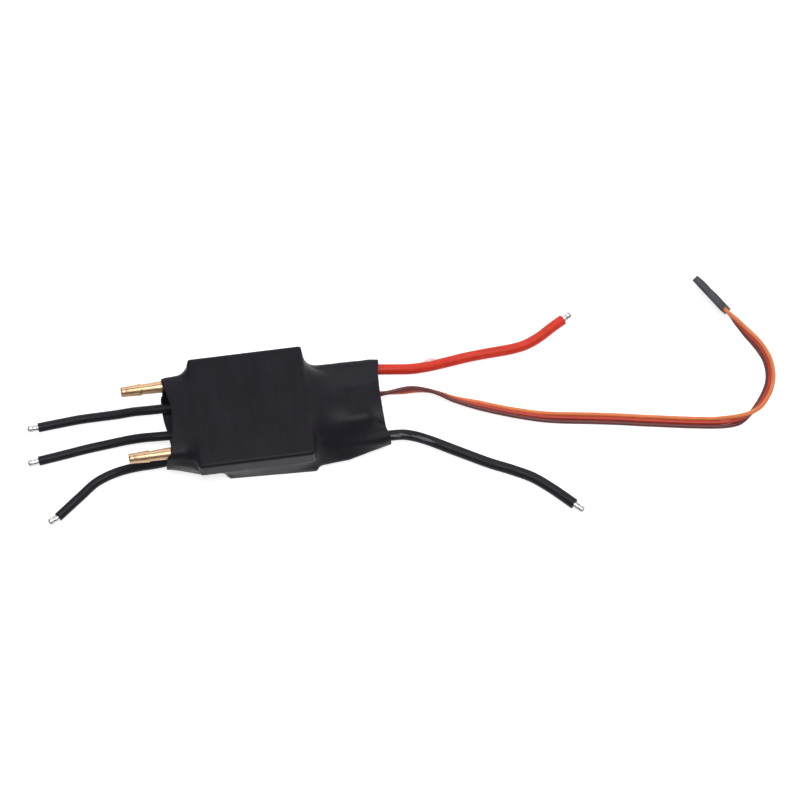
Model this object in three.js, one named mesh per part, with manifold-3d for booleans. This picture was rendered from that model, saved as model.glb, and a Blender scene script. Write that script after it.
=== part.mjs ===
// Water-cooled speed controller for a brushless motor: a square stack of boards and a cooling block
// in a heat-shrink sleeve, with two water nozzles and three motor wires on the left and two battery
// wires and a servo lead on the right.
// Millimetres, +Z up. +X points to the battery side. The origin is the centre of the block's underside.
import * as THREE from "three";
import { mergeVertices } from "three/addons/utils/BufferGeometryUtils.js";
import Module from "manifold-3d";

const wasm = await Module();
wasm.setup();

// ---------------------------------------------------------------- driving dimensions
const BLOCK_LENGTH = 35.4; // the sleeved block along X
const BLOCK_WIDTH = 36.4; // the sleeved block along Y
const BLOCK_HEIGHT = 15.5; // the whole height, sleeve included
const SLEEVE_WALL = 0.5;
const SLEEVE_ROUNDING_STEPS = 3; // facets on each rounded edge of a sleeve section

const COOLER_HEIGHT = 5.6;
const COOLER_TOP = BLOCK_HEIGHT - SLEEVE_WALL - 0.4;
const COOLER_SIZE = [BLOCK_LENGTH - 1.2, BLOCK_WIDTH - 1.8];
const CHANNEL_RADIUS = 1.7;
const CROSS_CHANNEL_X = 11;

const NOZZLE_Y = { water_nozzle_inlet: 11.9, water_nozzle_outlet: -11.0 };
const NOZZLE_Z = COOLER_TOP - COOLER_HEIGHT / 2 + 0.2;
const NOZZLE_TIP_X = -40.4;
const NOZZLE_BORE_RADIUS = 0.9;

const PAD_THICKNESS = 0.4;
const MOSFET_SIZE = [4.9, 4.6, 0.9];
const POWER_BOARD = { size: [33, 31, 1.0], bottom: 6.4 };
const CONTROL_BOARD = { size: [32, 28, 0.8], bottom: 3.1 };
const SPREADER = { size: [25.2, 29.8, 1.2], bottom: 0.8, centre: [3.9, -1.9], turn_deg: -3 };
const BOARD_HOLE_RADIUS = 0.8;
const STACK_GAP = 0.3; // air between pieces that lie on each other
const CHIP_GAP = 0.1; // air under a soldered chip

const CAPACITOR_RADIUS = 3.95;
const CAPACITOR_SPACING = 8.3;
const CAPACITOR_SPAN = [21.5, 36.8]; // along X
const CAPACITOR_AXIS = { y: -1.8, z: 7.2 }; // midway between the two cans

const MOTOR_JACKET_RADIUS = 1.5;
const BATTERY_JACKET_RADIUS = 1.7;
const JACKET_HOLE_RADIUS = 1.25;
const CORE_RADIUS = 1.0;
const WIRE_SIDES = 8;

const STRAND_RADIUS = 0.6;
const STRAND_PITCH = 1.35;
const CONTACT_PITCH = 2.54;

const CONNECTOR_SIZE = [14, 7.7, 2.6]; // length, width, thickness
const CONNECTOR_REAR = [156.5, 15.6, 4.13]; // centre of the face that the lead enters
const CONNECTOR_HEADING_DEG = 121; // from +X, anticlockwise
const CONNECTOR_ROLL_DEG = 68; // 0 lies flat, 90 stands on its narrow edge
const CONNECTOR_CAVITY = [1.9, 1.7];

// Motor wires: where the jacket starts, its route over the bench, and the end of the bare tip.
const MOTOR_WIRE_ROUTES = {
  a: [
    [-18.4, 7.2, 5.3], [-22.5, 7.2, 5.2], [-28.1, 7.2, 5.0], [-32.2, 7.5, 4.6], [-37.3, 8.1, 3.6],
    [-42.8, 8.4, 2.5], [-48.4, 8.7, 1.8], [-54.8, 8.8, 1.5], [-61.3, 8.4, 1.5], [-68.3, 7.9, 1.5],
    [-71.8, 7.9, 1.5],
  ],
  b: [
    [-18.4, -2.2, 5.3], [-22.5, -2.3, 5.2], [-27.2, -2.2, 5.0], [-31.6, -1.8, 4.6], [-35.4, -1.3, 3.8],
    [-39.6, -1.0, 2.9], [-46.1, -1.1, 1.9], [-52.6, -1.5, 1.5], [-62.4, -2.7, 1.5], [-69.3, -3.5, 1.5],
    [-72.8, -3.9, 1.5],
  ],
  c: [
    [-18.4, -11.0, 5.3], [-22.5, -11.0, 5.2], [-28.6, -11.0, 5.0], [-32.7, -11.1, 4.6], [-37.5, -10.8, 3.6],
    [-41.4, -10.7, 2.6], [-45.1, -11.0, 1.8], [-51.7, -13.2, 1.5], [-57.6, -17.5, 1.5], [-65.2, -23.3, 1.5],
    [-68.3, -24.7, 1.5],
  ],
};
const BATTERY_WIRE_ROUTES = {
  positive: [
    [18.4, 11.5, 5.3], [24, 11.6, 5.3], [30, 11.35, 5.4], [36, 10.95, 5.8], [42.0, 10.35, 6.0],
    [47.0, 9.8, 5.7], [52.3, 9.6, 4.7], [58.2, 10.2, 3.4], [64.1, 11.2, 2.4], [70.2, 12.1, 1.9],
    [76.3, 12.6, 1.7], [81.4, 12.8, 1.7], [86.5, 13.1, 1.7], [90.0, 13.7, 1.7], [93.3, 14.9, 1.7],
    [96.4, 16.5, 1.7], [99.8, 18.6, 1.7], [103.9, 20.9, 1.7], [106.7, 22.5, 1.7],
  ],
  negative: [
    [18.4, -12.2, 5.3], [24, -12.5, 5.3], [30, -12.7, 5.4], [36, -12.7, 5.8], [42.4, -12.7, 6.0],
    [47.0, -12.8, 5.4], [50.0, -13.3, 4.4], [53.2, -14.3, 3.3], [56.5, -15.7, 2.4], [59.7, -17.4, 1.9],
    [66.1, -21.1, 1.7], [72.9, -25.0, 1.7], [79.8, -28.4, 1.7], [85.6, -31.7, 1.7], [90.8, -36.1, 1.7],
    [97.2, -42.5, 1.7], [99.7, -45.1, 1.7],
  ],
};
const BOARD_END_X = 14; // how far the bare cores reach over their pads under the power board

// Servo lead: the middle of the flat lead, then the roll of its width about its own run, in degrees.
// At roll 0 it lies flat with the signal strand on the left of the run.
const SERVO_ROUTE = [
  [17.0, 1.5, 3.5, 0], [20.0, 1.6, 2.9, 0], [24.0, 1.8, 2.3, 0], [30.0, 2.0, 2.3, 0],
  [36.0, 2.2, 2.35, -6], [38.5, 2.4, 3.3, -30], [41.6, 2.5, 4.5, -60], [44.3, 2.4, 4.9, -70],
  [46.9, 2.4, 5.0, -82], [49.5, 2.5, 4.8, -92], [52.3, 2.6, 4.2, -88], [55.3, 2.4, 3.3, -76],
  [58.6, 1.6, 2.5, -68], [61.2, 0.4, 2.2, -62], [64.2, -1.3, 1.85, -52], [67.9, -2.9, 1.6, -40],
  [71.6, -4.3, 1.3, -26], [76.1, -6.1, 1.2, -22], [80.6, -7.8, 1.15, -20], [86.3, -9.7, 1.05, -15],
  [92.4, -11.4, 0.9, -9], [97.3, -12.4, 0.8, -4], [102.3, -13.2, 0.7, 0], [107.2, -14.0, 0.7, 0],
  [112.2, -14.9, 0.7, 0], [117.5, -15.9, 0.7, 0], [122.8, -17.0, 0.7, 0], [128.0, -18.0, 0.7, 0],
  [133.1, -19.0, 0.7, 0], [137.3, -19.8, 0.7, 0], [141.4, -20.5, 0.7, 0], [146.4, -21.3, 0.8, 2],
  [150.2, -21.7, 1.2, 16], [154.0, -21.7, 1.8, 50], [157.7, -20.4, 2.1, 95], [160.8, -18.3, 2.0, 128],
  [163.4, -15.5, 2.0, 138], [165.4, -12.4, 2.0, 136], [166.7, -9.1, 2.0, 131], [167.1, -5.7, 2.1, 127],
  [166.8, -2.3, 2.2, 125], [165.6, 1.1, 2.4, 125], [163.9, 4.3, 2.7, 123], [162.1, 6.9, 3.1, 115],
  [160.5, 9.3, 3.5, 101], [159.0, 11.6, 3.9, 84], [157.5, 13.9, 4.1, 71], [155.4, 17.4, 4.13, 68],
];
const SERVO_FAN_POINTS = 3; // the strands spread to the contact pitch over this many last points

// Sleeve sections from the left mouth to the right one. Each holds the place along X, how far the
// section leans with height, the rounding of its edges, and its six corners as [y, z]:
// far top, far side, far bottom, near bottom, near side, near top.
const SLEEVE_SECTIONS = [
  {
    x: -27.4, lean: 0.26, round: 1.5,
    corners: [[14.4, 14.6], [14.9, 11], [10.0, 2.8], [-12.7, 2.8], [-14.0, 6.2], [-13.4, 14.6]],
  },
  {
    x: -24.0, lean: 0.1, round: 1.6,
    corners: [[14.6, 14.7], [15.1, 10.5], [11.0, 2.4], [-13.2, 2.4], [-14.5, 6.8], [-13.9, 14.7]],
  },
  {
    x: -21.0, lean: 0, round: 1.6,
    corners: [[15.4, 14.9], [15.8, 10], [12.8, 1.5], [-13.9, 1.5], [-15.8, 7.5], [-15.4, 14.9]],
  },
  {
    x: -19.0, lean: 0, round: 1.4,
    corners: [[17.1, 15.2], [17.2, 9.5], [14.6, 0.6], [-14.6, 0.6], [-16.9, 8.5], [-17.0, 15.2]],
  },
  {
    x: -17.7, lean: 0, round: 1.2,
    corners: [[18.2, 15.5], [18.2, 9], [15.4, 0], [-15.0, 0], [-18.2, 9], [-18.2, 15.5]],
  },
  {
    x: -11.0, lean: 0, round: 1.2,
    corners: [[18.2, 15.5], [18.2, 9], [15.4, 0], [-15.4, 0], [-18.2, 9], [-18.2, 15.5]],
  },
  {
    x: -9.4, lean: 0, round: 1.2,
    corners: [[18.2, 15.5], [18.2, 9], [15.4, 0], [-17.3, 0], [-18.2, 7.5], [-18.2, 15.5]],
  },
  {
    x: 17.7, lean: 0, round: 1.2,
    corners: [[18.2, 15.5], [18.2, 9], [15.4, 0], [-18.6, 0], [-18.7, 6], [-18.2, 15.5]],
  },
  {
    x: 19.2, lean: 0, round: 1.6,
    corners: [[16.2, 14.7], [17.0, 8.5], [14.8, 0.4], [-17.9, 0.4], [-18.7, 5.5], [-16.6, 14.7]],
  },
  {
    x: 21.5, lean: 0, round: 2.0,
    corners: [[12.0, 13.3], [15.4, 7.5], [13.8, 0.7], [-17.2, 0.8], [-18.5, 5.2], [-13.6, 13.3]],
  },
  {
    x: 25.0, lean: 0, round: 2.2,
    corners: [[7.2, 12.2], [14.7, 7], [13.2, 0.8], [-16.4, 1.0], [-18.1, 5.0], [-10.8, 12.2]],
  },
  {
    x: 31.0, lean: 0, round: 2.2,
    corners: [[6.8, 12.0], [14.3, 6.8], [12.6, 0.8], [-15.6, 1.1], [-17.2, 5.4], [-10.5, 12.0]],
  },
  {
    x: 37.0, lean: 0, round: 2.2,
    corners: [[6.6, 11.9], [14.0, 6.6], [12.0, 0.9], [-14.7, 1.2], [-16.3, 5.8], [-10.3, 11.9]],
  },
  {
    x: 41.6, lean: -0.05, round: 1.8,
    corners: [[8.0, 10.0], [13.7, 6.8], [11.0, 2.0], [-13.8, 2.4], [-15.6, 6.6], [-12.2, 10.0]],
  },
];
const SLEEVE_MID_HEIGHT = 8.4;

// ---------------------------------------------------------------- materials
const LOOKS = {
  shrink: { color: 0x232328, roughness: 0.5, metalness: 0.0 },
  brass: { color: 0xc89a55, roughness: 0.3, metalness: 1.0 },
  aluminium: { color: 0xb4b7bb, roughness: 0.4, metalness: 0.9 },
  steel: { color: 0x9a9ca0, roughness: 0.35, metalness: 1.0 },
  pad: { color: 0x8fa3b8, roughness: 0.9, metalness: 0.0 },
  board: { color: 0x1d4a2c, roughness: 0.5, metalness: 0.0 },
  chip: { color: 0x1a1a1c, roughness: 0.6, metalness: 0.0 },
  ferrite: { color: 0x3a3a3e, roughness: 0.7, metalness: 0.1 },
  can: { color: 0x23304e, roughness: 0.4, metalness: 0.1 },
  black_silicone: { color: 0x1b1b20, roughness: 0.6, metalness: 0.0 },
  red_silicone: { color: 0xc8321f, roughness: 0.5, metalness: 0.0 },
  tinned: { color: 0xbfc0c2, roughness: 0.35, metalness: 1.0 },
  orange_strand: { color: 0xd9772e, roughness: 0.5, metalness: 0.0 },
  red_strand: { color: 0xb5301f, roughness: 0.5, metalness: 0.0 },
  brown_strand: { color: 0x4a2a24, roughness: 0.5, metalness: 0.0 },
  connector: { color: 0x2b2b31, roughness: 0.6, metalness: 0.0 },
  gold: { color: 0xd8b25a, roughness: 0.3, metalness: 1.0 },
};

// ---------------------------------------------------------------- shape helpers
function solidOf(geometry) {
  const bare = geometry.clone();
  bare.deleteAttribute("normal");
  bare.deleteAttribute("uv");
  const merged = mergeVertices(bare, 1e-4);
  return new wasm.Manifold(
    new wasm.Mesh({
      numProp: 3,
      vertProperties: merged.attributes.position.array,
      triVerts: new Uint32Array(merged.index.array),
    }),
  );
}

function geometryOf(solid) {
  const mesh = solid.getMesh();
  const geometry = new THREE.BufferGeometry();
  geometry.setAttribute("position", new THREE.BufferAttribute(mesh.vertProperties, 3));
  geometry.setIndex(new THREE.BufferAttribute(mesh.triVerts, 1));
  return geometry;
}

function join(first, ...others) {
  return geometryOf(others.reduce((sum, other) => sum.add(solidOf(other)), solidOf(first)));
}

function cut(first, ...tools) {
  return geometryOf(tools.reduce((rest, tool) => rest.subtract(solidOf(tool)), solidOf(first)));
}

// A box given by its size and the middle of its underside.
function slab([length, width, height], [x, y, bottom]) {
  return new THREE.BoxGeometry(length, width, height).translate(x, y, bottom + height / 2);
}

// A round bar along X from x0 to x1.
function rodAlongX(radius, x0, x1, y, z, sides = 20) {
  const rod = new THREE.CylinderGeometry(radius, radius, x1 - x0, sides);
  return rod.rotateZ(-Math.PI / 2).translate((x0 + x1) / 2, y, z);
}

function rodAlongY(radius, y0, y1, x, z, sides = 20) {
  return new THREE.CylinderGeometry(radius, radius, y1 - y0, sides).translate(x, (y0 + y1) / 2, z);
}

function rodAlongZ(radius, z0, z1, x, y, sides = 8) {
  const rod = new THREE.CylinderGeometry(radius, radius, z1 - z0, sides);
  return rod.rotateX(Math.PI / 2).translate(x, y, (z0 + z1) / 2);
}

// A route through given points, on which an extrusion makes one section at each point.
class Route extends THREE.Curve {
  constructor(points) {
    super();
    this.points = points.map((p) => new THREE.Vector3(...p));
  }

  getPointAt(u, target = new THREE.Vector3()) {
    const at = u * (this.points.length - 1);
    const index = Math.min(Math.floor(at + 1e-6), this.points.length - 2);
    return target.lerpVectors(this.points[index], this.points[index + 1], at - index);
  }

  getTangentAt(u, target = new THREE.Vector3()) {
    const index = Math.round(u * (this.points.length - 1));
    const before = this.points[Math.max(index - 1, 0)];
    const after = this.points[Math.min(index + 1, this.points.length - 1)];
    return target.subVectors(after, before).normalize();
  }
}

function circlePoints(radius, sides) {
  const points = [];
  for (let i = 0; i < sides; i++) {
    const angle = (2 * Math.PI * (i + 0.5)) / sides;
    points.push(new THREE.Vector2(radius * Math.cos(angle), radius * Math.sin(angle)));
  }
  return points;
}

// A round tube along a route, hollow when it has a hole radius.
function tubeAlong(points, radius, holeRadius = 0) {
  const section = new THREE.Shape(circlePoints(radius, WIRE_SIDES));
  if (holeRadius > 0) section.holes.push(new THREE.Path(circlePoints(holeRadius, WIRE_SIDES)));
  return new THREE.ExtrudeGeometry(section, {
    steps: points.length - 1,
    bevelEnabled: false,
    extrudePath: new Route(points),
  });
}

// A closed ring of loops, each loop an equal number of points, as in a torus.
function ringOfLoops(loops) {
  const count = loops[0].length;
  const index = [];
  for (let i = 0; i < loops.length; i++) {
    const next = (i + 1) % loops.length;
    for (let j = 0; j < count; j++) {
      const after = (j + 1) % count;
      index.push(i * count + j, next * count + j, i * count + after);
      index.push(i * count + after, next * count + j, next * count + after);
    }
  }
  const geometry = new THREE.BufferGeometry().setFromPoints(loops.flat());
  geometry.setIndex(index);
  return geometry;
}

// ---------------------------------------------------------------- heat-shrink sleeve
// The corners of a section moved inwards by a distance.
function insetCorners(corners, distance) {
  const points = corners.map(([y, z]) => new THREE.Vector2(y, z));
  return points.map((point, i) => {
    const before = points[(i + points.length - 1) % points.length];
    const after = points[(i + 1) % points.length];
    const along1 = point.clone().sub(before).normalize();
    const along2 = after.clone().sub(point).normalize();
    const inward1 = new THREE.Vector2(along1.y, -along1.x);
    const inward2 = new THREE.Vector2(along2.y, -along2.x);
    const shift = inward1.clone().add(inward2);
    return point.clone().addScaledVector(shift, distance / (1 + inward1.dot(inward2)));
  });
}

// The loop of one section, with each corner rounded by a quadratic curve.
function sleeveLoop({ x, lean, round, corners }, inset) {
  const points = insetCorners(corners, inset);
  const loop = [];
  points.forEach((corner, i) => {
    const before = points[(i + points.length - 1) % points.length];
    const after = points[(i + 1) % points.length];
    const start = corner.clone().lerp(before, Math.min(round / corner.distanceTo(before), 0.45));
    const end = corner.clone().lerp(after, Math.min(round / corner.distanceTo(after), 0.45));
    const bend = new THREE.QuadraticBezierCurve(start, corner, end);
    bend.getPoints(SLEEVE_ROUNDING_STEPS).forEach((p) => {
      loop.push(new THREE.Vector3(x + lean * (p.y - SLEEVE_MID_HEIGHT), p.x, p.y));
    });
  });
  return loop;
}

function sleeveGeometry() {
  const outer = SLEEVE_SECTIONS.map((section) => sleeveLoop(section, 0));
  const inner = SLEEVE_SECTIONS.map((section) => sleeveLoop(section, SLEEVE_WALL));
  return ringOfLoops([...outer, ...inner.reverse()]);
}

// ---------------------------------------------------------------- water circuit
function coolingBlockGeometry() {
  const [length, width] = COOLER_SIZE;
  const bottom = COOLER_TOP - COOLER_HEIGHT;
  const block = slab([length, width, COOLER_HEIGHT], [0, 0, bottom]);
  const far = NOZZLE_Y.water_nozzle_inlet;
  const near = NOZZLE_Y.water_nozzle_outlet;
  const overrun = 1;
  return cut(
    block,
    rodAlongX(CHANNEL_RADIUS, -length / 2 - overrun, CROSS_CHANNEL_X + CHANNEL_RADIUS, far, NOZZLE_Z),
    rodAlongX(CHANNEL_RADIUS, -length / 2 - overrun, CROSS_CHANNEL_X + CHANNEL_RADIUS, near, NOZZLE_Z),
    rodAlongY(CHANNEL_RADIUS, -width / 2 - overrun, far + CHANNEL_RADIUS, CROSS_CHANNEL_X, NOZZLE_Z),
  );
}

// A grub screw with a hexagon socket that closes the cross channel.
function channelPlugGeometry() {
  const face = -COOLER_SIZE[1] / 2 + 0.2;
  const length = 4;
  const socketRadius = 0.75;
  const radius = CHANNEL_RADIUS - STACK_GAP;
  const screw = rodAlongY(radius, face, face + length, CROSS_CHANNEL_X, NOZZLE_Z);
  const socket = rodAlongY(socketRadius, face - 1, face + length / 2, CROSS_CHANNEL_X, NOZZLE_Z, 6);
  return cut(screw, socket);
}

// A turned nozzle: two hose barbs, a neck, a hexagon collar and a shank in the block's channel.
function nozzleGeometry(y) {
  const face = -COOLER_SIZE[0] / 2 - STACK_GAP;
  const shankEnd = face + 5;
  const profile = [
    [NOZZLE_BORE_RADIUS, NOZZLE_TIP_X], [1.45, NOZZLE_TIP_X], [1.55, NOZZLE_TIP_X + 0.4],
    [1.75, -34.6], [1.75, -34.0], [1.5, -33.8], [1.72, -27.6], [1.72, -26.8], [1.4, -26.4],
    [1.4, -19.6], [1.6, -19.4], [1.6, face], [1.4, face], [1.4, shankEnd], [NOZZLE_BORE_RADIUS, shankEnd],
    [NOZZLE_BORE_RADIUS, NOZZLE_TIP_X],
  ];
  const collarWidth = 1.9;
  const collarRadius = 2.45;
  const collarBoreRadius = 1.3;
  const turned = new THREE.LatheGeometry(profile.map(([r, x]) => new THREE.Vector2(r, x)), 20);
  turned.rotateZ(-Math.PI / 2).translate(0, y, NOZZLE_Z);
  const collar = rodAlongX(collarRadius, face - collarWidth, face, y, NOZZLE_Z, 6);
  const collarBore = rodAlongX(collarBoreRadius, face - collarWidth - 1, face + 1, y, NOZZLE_Z);
  return join(turned, cut(collar, collarBore));
}

// ---------------------------------------------------------------- boards and what is on them
const POWER_BOARD_TOP = POWER_BOARD.bottom + POWER_BOARD.size[2];
const CONTROL_BOARD_TOP = CONTROL_BOARD.bottom + CONTROL_BOARD.size[2];

function boardGeometry({ size, bottom }, [holeX, holeY]) {
  const board = slab(size, [0, 0, bottom]);
  const top = bottom + size[2];
  const holes = [];
  for (const side of [-1, 1])
    for (const end of [-1, 1])
      holes.push(rodAlongZ(BOARD_HOLE_RADIUS, bottom - 1, top + 1, end * holeX, side * holeY));
  return cut(board, ...holes);
}

// A moulded chip with rows of flat leads on two opposite sides, or on all four.
function chipGeometry(size, at, leads, fourSided = false) {
  const [length, width, height] = size;
  const [x, y, bottom] = at;
  const leadHeight = 0.25;
  const leadBottom = bottom + 0.05;
  const leadReach = 0.7;
  const parts = [];
  for (let i = 0; i < leads; i++) {
    const along = ((i + 0.5) / leads - 0.5) * 0.9;
    const thick = (0.45 * length) / leads;
    parts.push(slab([thick, width + 2 * leadReach, leadHeight], [x + along * length, y, leadBottom]));
    if (fourSided)
      parts.push(slab([length + 2 * leadReach, thick, leadHeight], [x, y + along * width, leadBottom]));
  }
  return join(slab([length, width, height], [x, y, bottom]), ...parts);
}

function mosfetPlaces() {
  const places = [];
  for (const y of [9.6, 0, -9.6])
    for (const x of [-11.1, -3.7, 3.7, 11.1]) places.push([x, y, POWER_BOARD_TOP + CHIP_GAP]);
  return places;
}

// A row of square pins through a moulded bar, joining the two boards.
function headerGeometry(y) {
  const pins = 5;
  const pitch = 2;
  const low = CONTROL_BOARD_TOP + CHIP_GAP;
  const high = POWER_BOARD.bottom - CHIP_GAP;
  const bar = slab([pins * pitch, 1.8, 1.2], [0, y, low + 0.5]);
  const posts = [];
  for (let i = 0; i < pins; i++)
    posts.push(slab([0.5, 0.5, high - low], [(i - (pins - 1) / 2) * pitch, y, low]));
  return join(bar, ...posts);
}

function inductorGeometry([x, y]) {
  const bottom = CONTROL_BOARD_TOP + CHIP_GAP;
  const base = slab([5.6, 5.6, 0.5], [x, y, bottom]);
  const drum = rodAlongZ(2.6, bottom + 0.4, bottom + 2.2, x, y, 16);
  return join(base, drum);
}

// An electrolytic can lying along X, with a crimped neck and two legs to the power board.
function capacitorGeometry(y) {
  const [x0, x1] = CAPACITOR_SPAN;
  const r = CAPACITOR_RADIUS;
  const profile = [
    [0, x0], [r - 0.7, x0], [r, x0 + 0.5], [r, x0 + 1.4], [r - 0.4, x0 + 1.9], [r, x0 + 2.4],
    [r, x1 - 0.4], [r - 0.4, x1], [0, x1],
  ];
  const outline = profile.map(([radius, x]) => new THREE.Vector2(radius, x));
  const can = new THREE.LatheGeometry(outline, 24);
  can.rotateZ(-Math.PI / 2).translate(0, y, CAPACITOR_AXIS.z);
  const legRadius = 0.3;
  const legOffset = 1.75;
  const legZ = POWER_BOARD_TOP + legRadius + CHIP_GAP;
  const legs = [-legOffset, legOffset].map((side) =>
    rodAlongX(legRadius, BOARD_END_X + 0.8, x0 + 1, y + side, legZ, 8),
  );
  return join(can, ...legs);
}

// ---------------------------------------------------------------- wires and the servo lead
// The bare core runs from its pad under the board, through the jacket, to the tip.
function wirePieces(name, route, towards, jacketRadius, look) {
  const jacket = route.slice(0, -1);
  const [startX, startY, startZ] = route[0];
  const pad = [towards * BOARD_END_X, startY, startZ];
  const edge = [startX - towards * 1.2, startY, startZ];
  addPiece(`${name}_jacket`, tubeAlong(jacket, jacketRadius, JACKET_HOLE_RADIUS), look);
  addPiece(`${name}_core`, tubeAlong([pad, edge, ...route], CORE_RADIUS), "tinned");
}

// The middle of one strand of the flat lead: side -1 brown, 0 red, 1 orange.
function strandPoints(side) {
  const centres = SERVO_ROUTE.map(([x, y, z]) => new THREE.Vector3(x, y, z));
  return centres.map((centre, i) => {
    const before = centres[Math.max(i - 1, 0)];
    const after = centres[Math.min(i + 1, centres.length - 1)];
    const run = after.clone().sub(before).normalize();
    const left = new THREE.Vector3(-run.y, run.x, 0).normalize();
    const up = run.clone().cross(left);
    const roll = THREE.MathUtils.degToRad(SERVO_ROUTE[i][3]);
    const across = left.multiplyScalar(Math.cos(roll)).addScaledVector(up, Math.sin(roll));
    const fan = Math.max(0, i - (centres.length - 1 - SERVO_FAN_POINTS)) / SERVO_FAN_POINTS;
    const spread = Math.min(1, fan * 1.5);
    const pitch = STRAND_PITCH + (CONTACT_PITCH - STRAND_PITCH) * spread;
    return centre.clone().addScaledVector(across, side * pitch).toArray();
  });
}

// The connector in its own frame: length along +X from the rear face, width along Y, thickness Z.
function connectorHousingGeometry() {
  const [length, width, thickness] = CONNECTOR_SIZE;
  const [cavityWidth, cavityHeight] = CONNECTOR_CAVITY;
  const stepX = 7.2; // the front part is a little slimmer from here on
  const overlap = 0.1;
  const frontSize = [length - stepX + overlap, width - 0.2, thickness - 0.3];
  const rear = slab([stepX, width, thickness], [stepX / 2, 0, -thickness / 2]);
  const front = slab(frontSize, [(length + stepX - overlap) / 2, 0, -thickness / 2]);
  const cuts = [];
  for (const side of [-1, 0, 1]) {
    const y = side * CONTACT_PITCH;
    cuts.push(slab([length + 2, cavityWidth, cavityHeight], [length / 2, y, -cavityHeight / 2 - 0.1]));
    cuts.push(slab([2.2, 1.3, thickness], [4.2, y, 0])); // the window over the contact's latch
  }
  return cut(join(rear, front), ...cuts);
}

// A folded contact sleeve, open at the mating end.
function contactGeometry(side) {
  const y = side * CONTACT_PITCH;
  const start = 2.6;
  const end = CONNECTOR_SIZE[0] - 0.8;
  const outside = slab([end - start, 1.3, 1.1], [(start + end) / 2, y, -0.65]);
  const inside = slab([4.5, 0.9, 0.7], [end - 1.5, y, -0.45]);
  return cut(outside, inside);
}

function connectorGroup() {
  const group = new THREE.Group();
  group.add(piece("servo_connector_housing", connectorHousingGeometry(), "connector"));
  ["ground", "supply", "signal"].forEach((name, i) => {
    group.add(piece(`servo_contact_${name}`, contactGeometry(i - 1), "gold"));
  });
  const heading = THREE.MathUtils.degToRad(CONNECTOR_HEADING_DEG);
  const roll = THREE.MathUtils.degToRad(CONNECTOR_ROLL_DEG);
  group.rotation.set(roll, 0, heading, "ZYX");
  group.position.set(...CONNECTOR_REAR);
  return group;
}

// ---------------------------------------------------------------- assembly
const controller = new THREE.Group();

function piece(name, geometry, look) {
  const mesh = new THREE.Mesh(geometry, new THREE.MeshStandardMaterial(LOOKS[look]));
  mesh.name = name;
  return mesh;
}

function addPiece(name, geometry, look) {
  controller.add(piece(name, geometry, look));
}

function addWaterCircuit() {
  addPiece("cooling_block", coolingBlockGeometry(), "aluminium");
  addPiece("channel_plug", channelPlugGeometry(), "steel");
  for (const [name, y] of Object.entries(NOZZLE_Y)) addPiece(name, nozzleGeometry(y), "brass");
}

function addBoardStack() {
  const spreader = new THREE.Group();
  const [spreaderX, spreaderY] = SPREADER.centre;
  const spreaderTop = SPREADER.size[2] + STACK_GAP;
  const basePadSize = [SPREADER.size[0] - 2, SPREADER.size[1] - 5, PAD_THICKNESS];
  spreader.add(piece("base_heat_spreader", slab(SPREADER.size, [0, 0, 0]), "aluminium"));
  spreader.add(piece("base_pad", slab(basePadSize, [0, 0, spreaderTop]), "pad"));
  spreader.rotation.z = THREE.MathUtils.degToRad(SPREADER.turn_deg);
  spreader.position.set(spreaderX, spreaderY, SPREADER.bottom);
  controller.add(spreader);

  addPiece("control_board", boardGeometry(CONTROL_BOARD, [14, 12]), "board");
  addPiece("power_board", boardGeometry(POWER_BOARD, [14.8, 13.8]), "board");
  const padBottom = COOLER_TOP - COOLER_HEIGHT - PAD_THICKNESS - CHIP_GAP;
  addPiece("thermal_pad", slab([31, 26.5, PAD_THICKNESS], [0, 0, padBottom]), "pad");
}

function addComponents() {
  mosfetPlaces().forEach((place, i) => {
    const number = String(i + 1).padStart(2, "0");
    addPiece(`mosfet_${number}`, chipGeometry(MOSFET_SIZE, place, 4), "chip");
  });
  const bottom = CONTROL_BOARD_TOP + CHIP_GAP;
  addPiece("microcontroller", chipGeometry([6, 6, 1.0], [1, 0, bottom], 6, true), "chip");
  ["a", "b", "c"].forEach((phase, i) => {
    const driver = chipGeometry([4.9, 3.9, 1.4], [-8.5, 8 - 8 * i, bottom], 4);
    addPiece(`gate_driver_${phase}`, driver, "chip");
  });
  addPiece("bec_regulator", chipGeometry([4.9, 3.9, 1.5], [9, -6.5, bottom], 4), "chip");
  addPiece("bec_inductor", inductorGeometry([9, 6]), "ferrite");
  addPiece("board_header_far", headerGeometry(12.4), "gold");
  addPiece("board_header_near", headerGeometry(-12.4), "gold");
  const half = CAPACITOR_SPACING / 2;
  addPiece("input_capacitor_far", capacitorGeometry(CAPACITOR_AXIS.y + half), "can");
  addPiece("input_capacitor_near", capacitorGeometry(CAPACITOR_AXIS.y - half), "can");
}

function addWires() {
  for (const [phase, route] of Object.entries(MOTOR_WIRE_ROUTES))
    wirePieces(`motor_wire_${phase}`, route, -1, MOTOR_JACKET_RADIUS, "black_silicone");
  for (const [pole, colour] of Object.entries({ positive: "red", negative: "black" })) {
    const route = BATTERY_WIRE_ROUTES[pole];
    wirePieces(`battery_wire_${pole}`, route, 1, BATTERY_JACKET_RADIUS, `${colour}_silicone`);
  }
  ["brown", "red", "orange"].forEach((colour, i) => {
    const strand = tubeAlong(strandPoints(i - 1), STRAND_RADIUS);
    addPiece(`servo_strand_${colour}`, strand, `${colour}_strand`);
  });
}

addPiece("heat_shrink_sleeve", sleeveGeometry(), "shrink");
addWaterCircuit();
addBoardStack();
addComponents();
addWires();
controller.add(connectorGroup());

export default controller;
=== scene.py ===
"""Looks of a water-cooled speed controller for a brushless motor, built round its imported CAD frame.

Metres, +Z up. The block's sleeve is a skin relaxed over what it holds. The wires, the servo lead,
the nozzles and the connector are built at the places that the CAD model gives them.
"""

import math

import bmesh
import bpy
import numpy as np
from mathutils import Matrix, Vector


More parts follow.
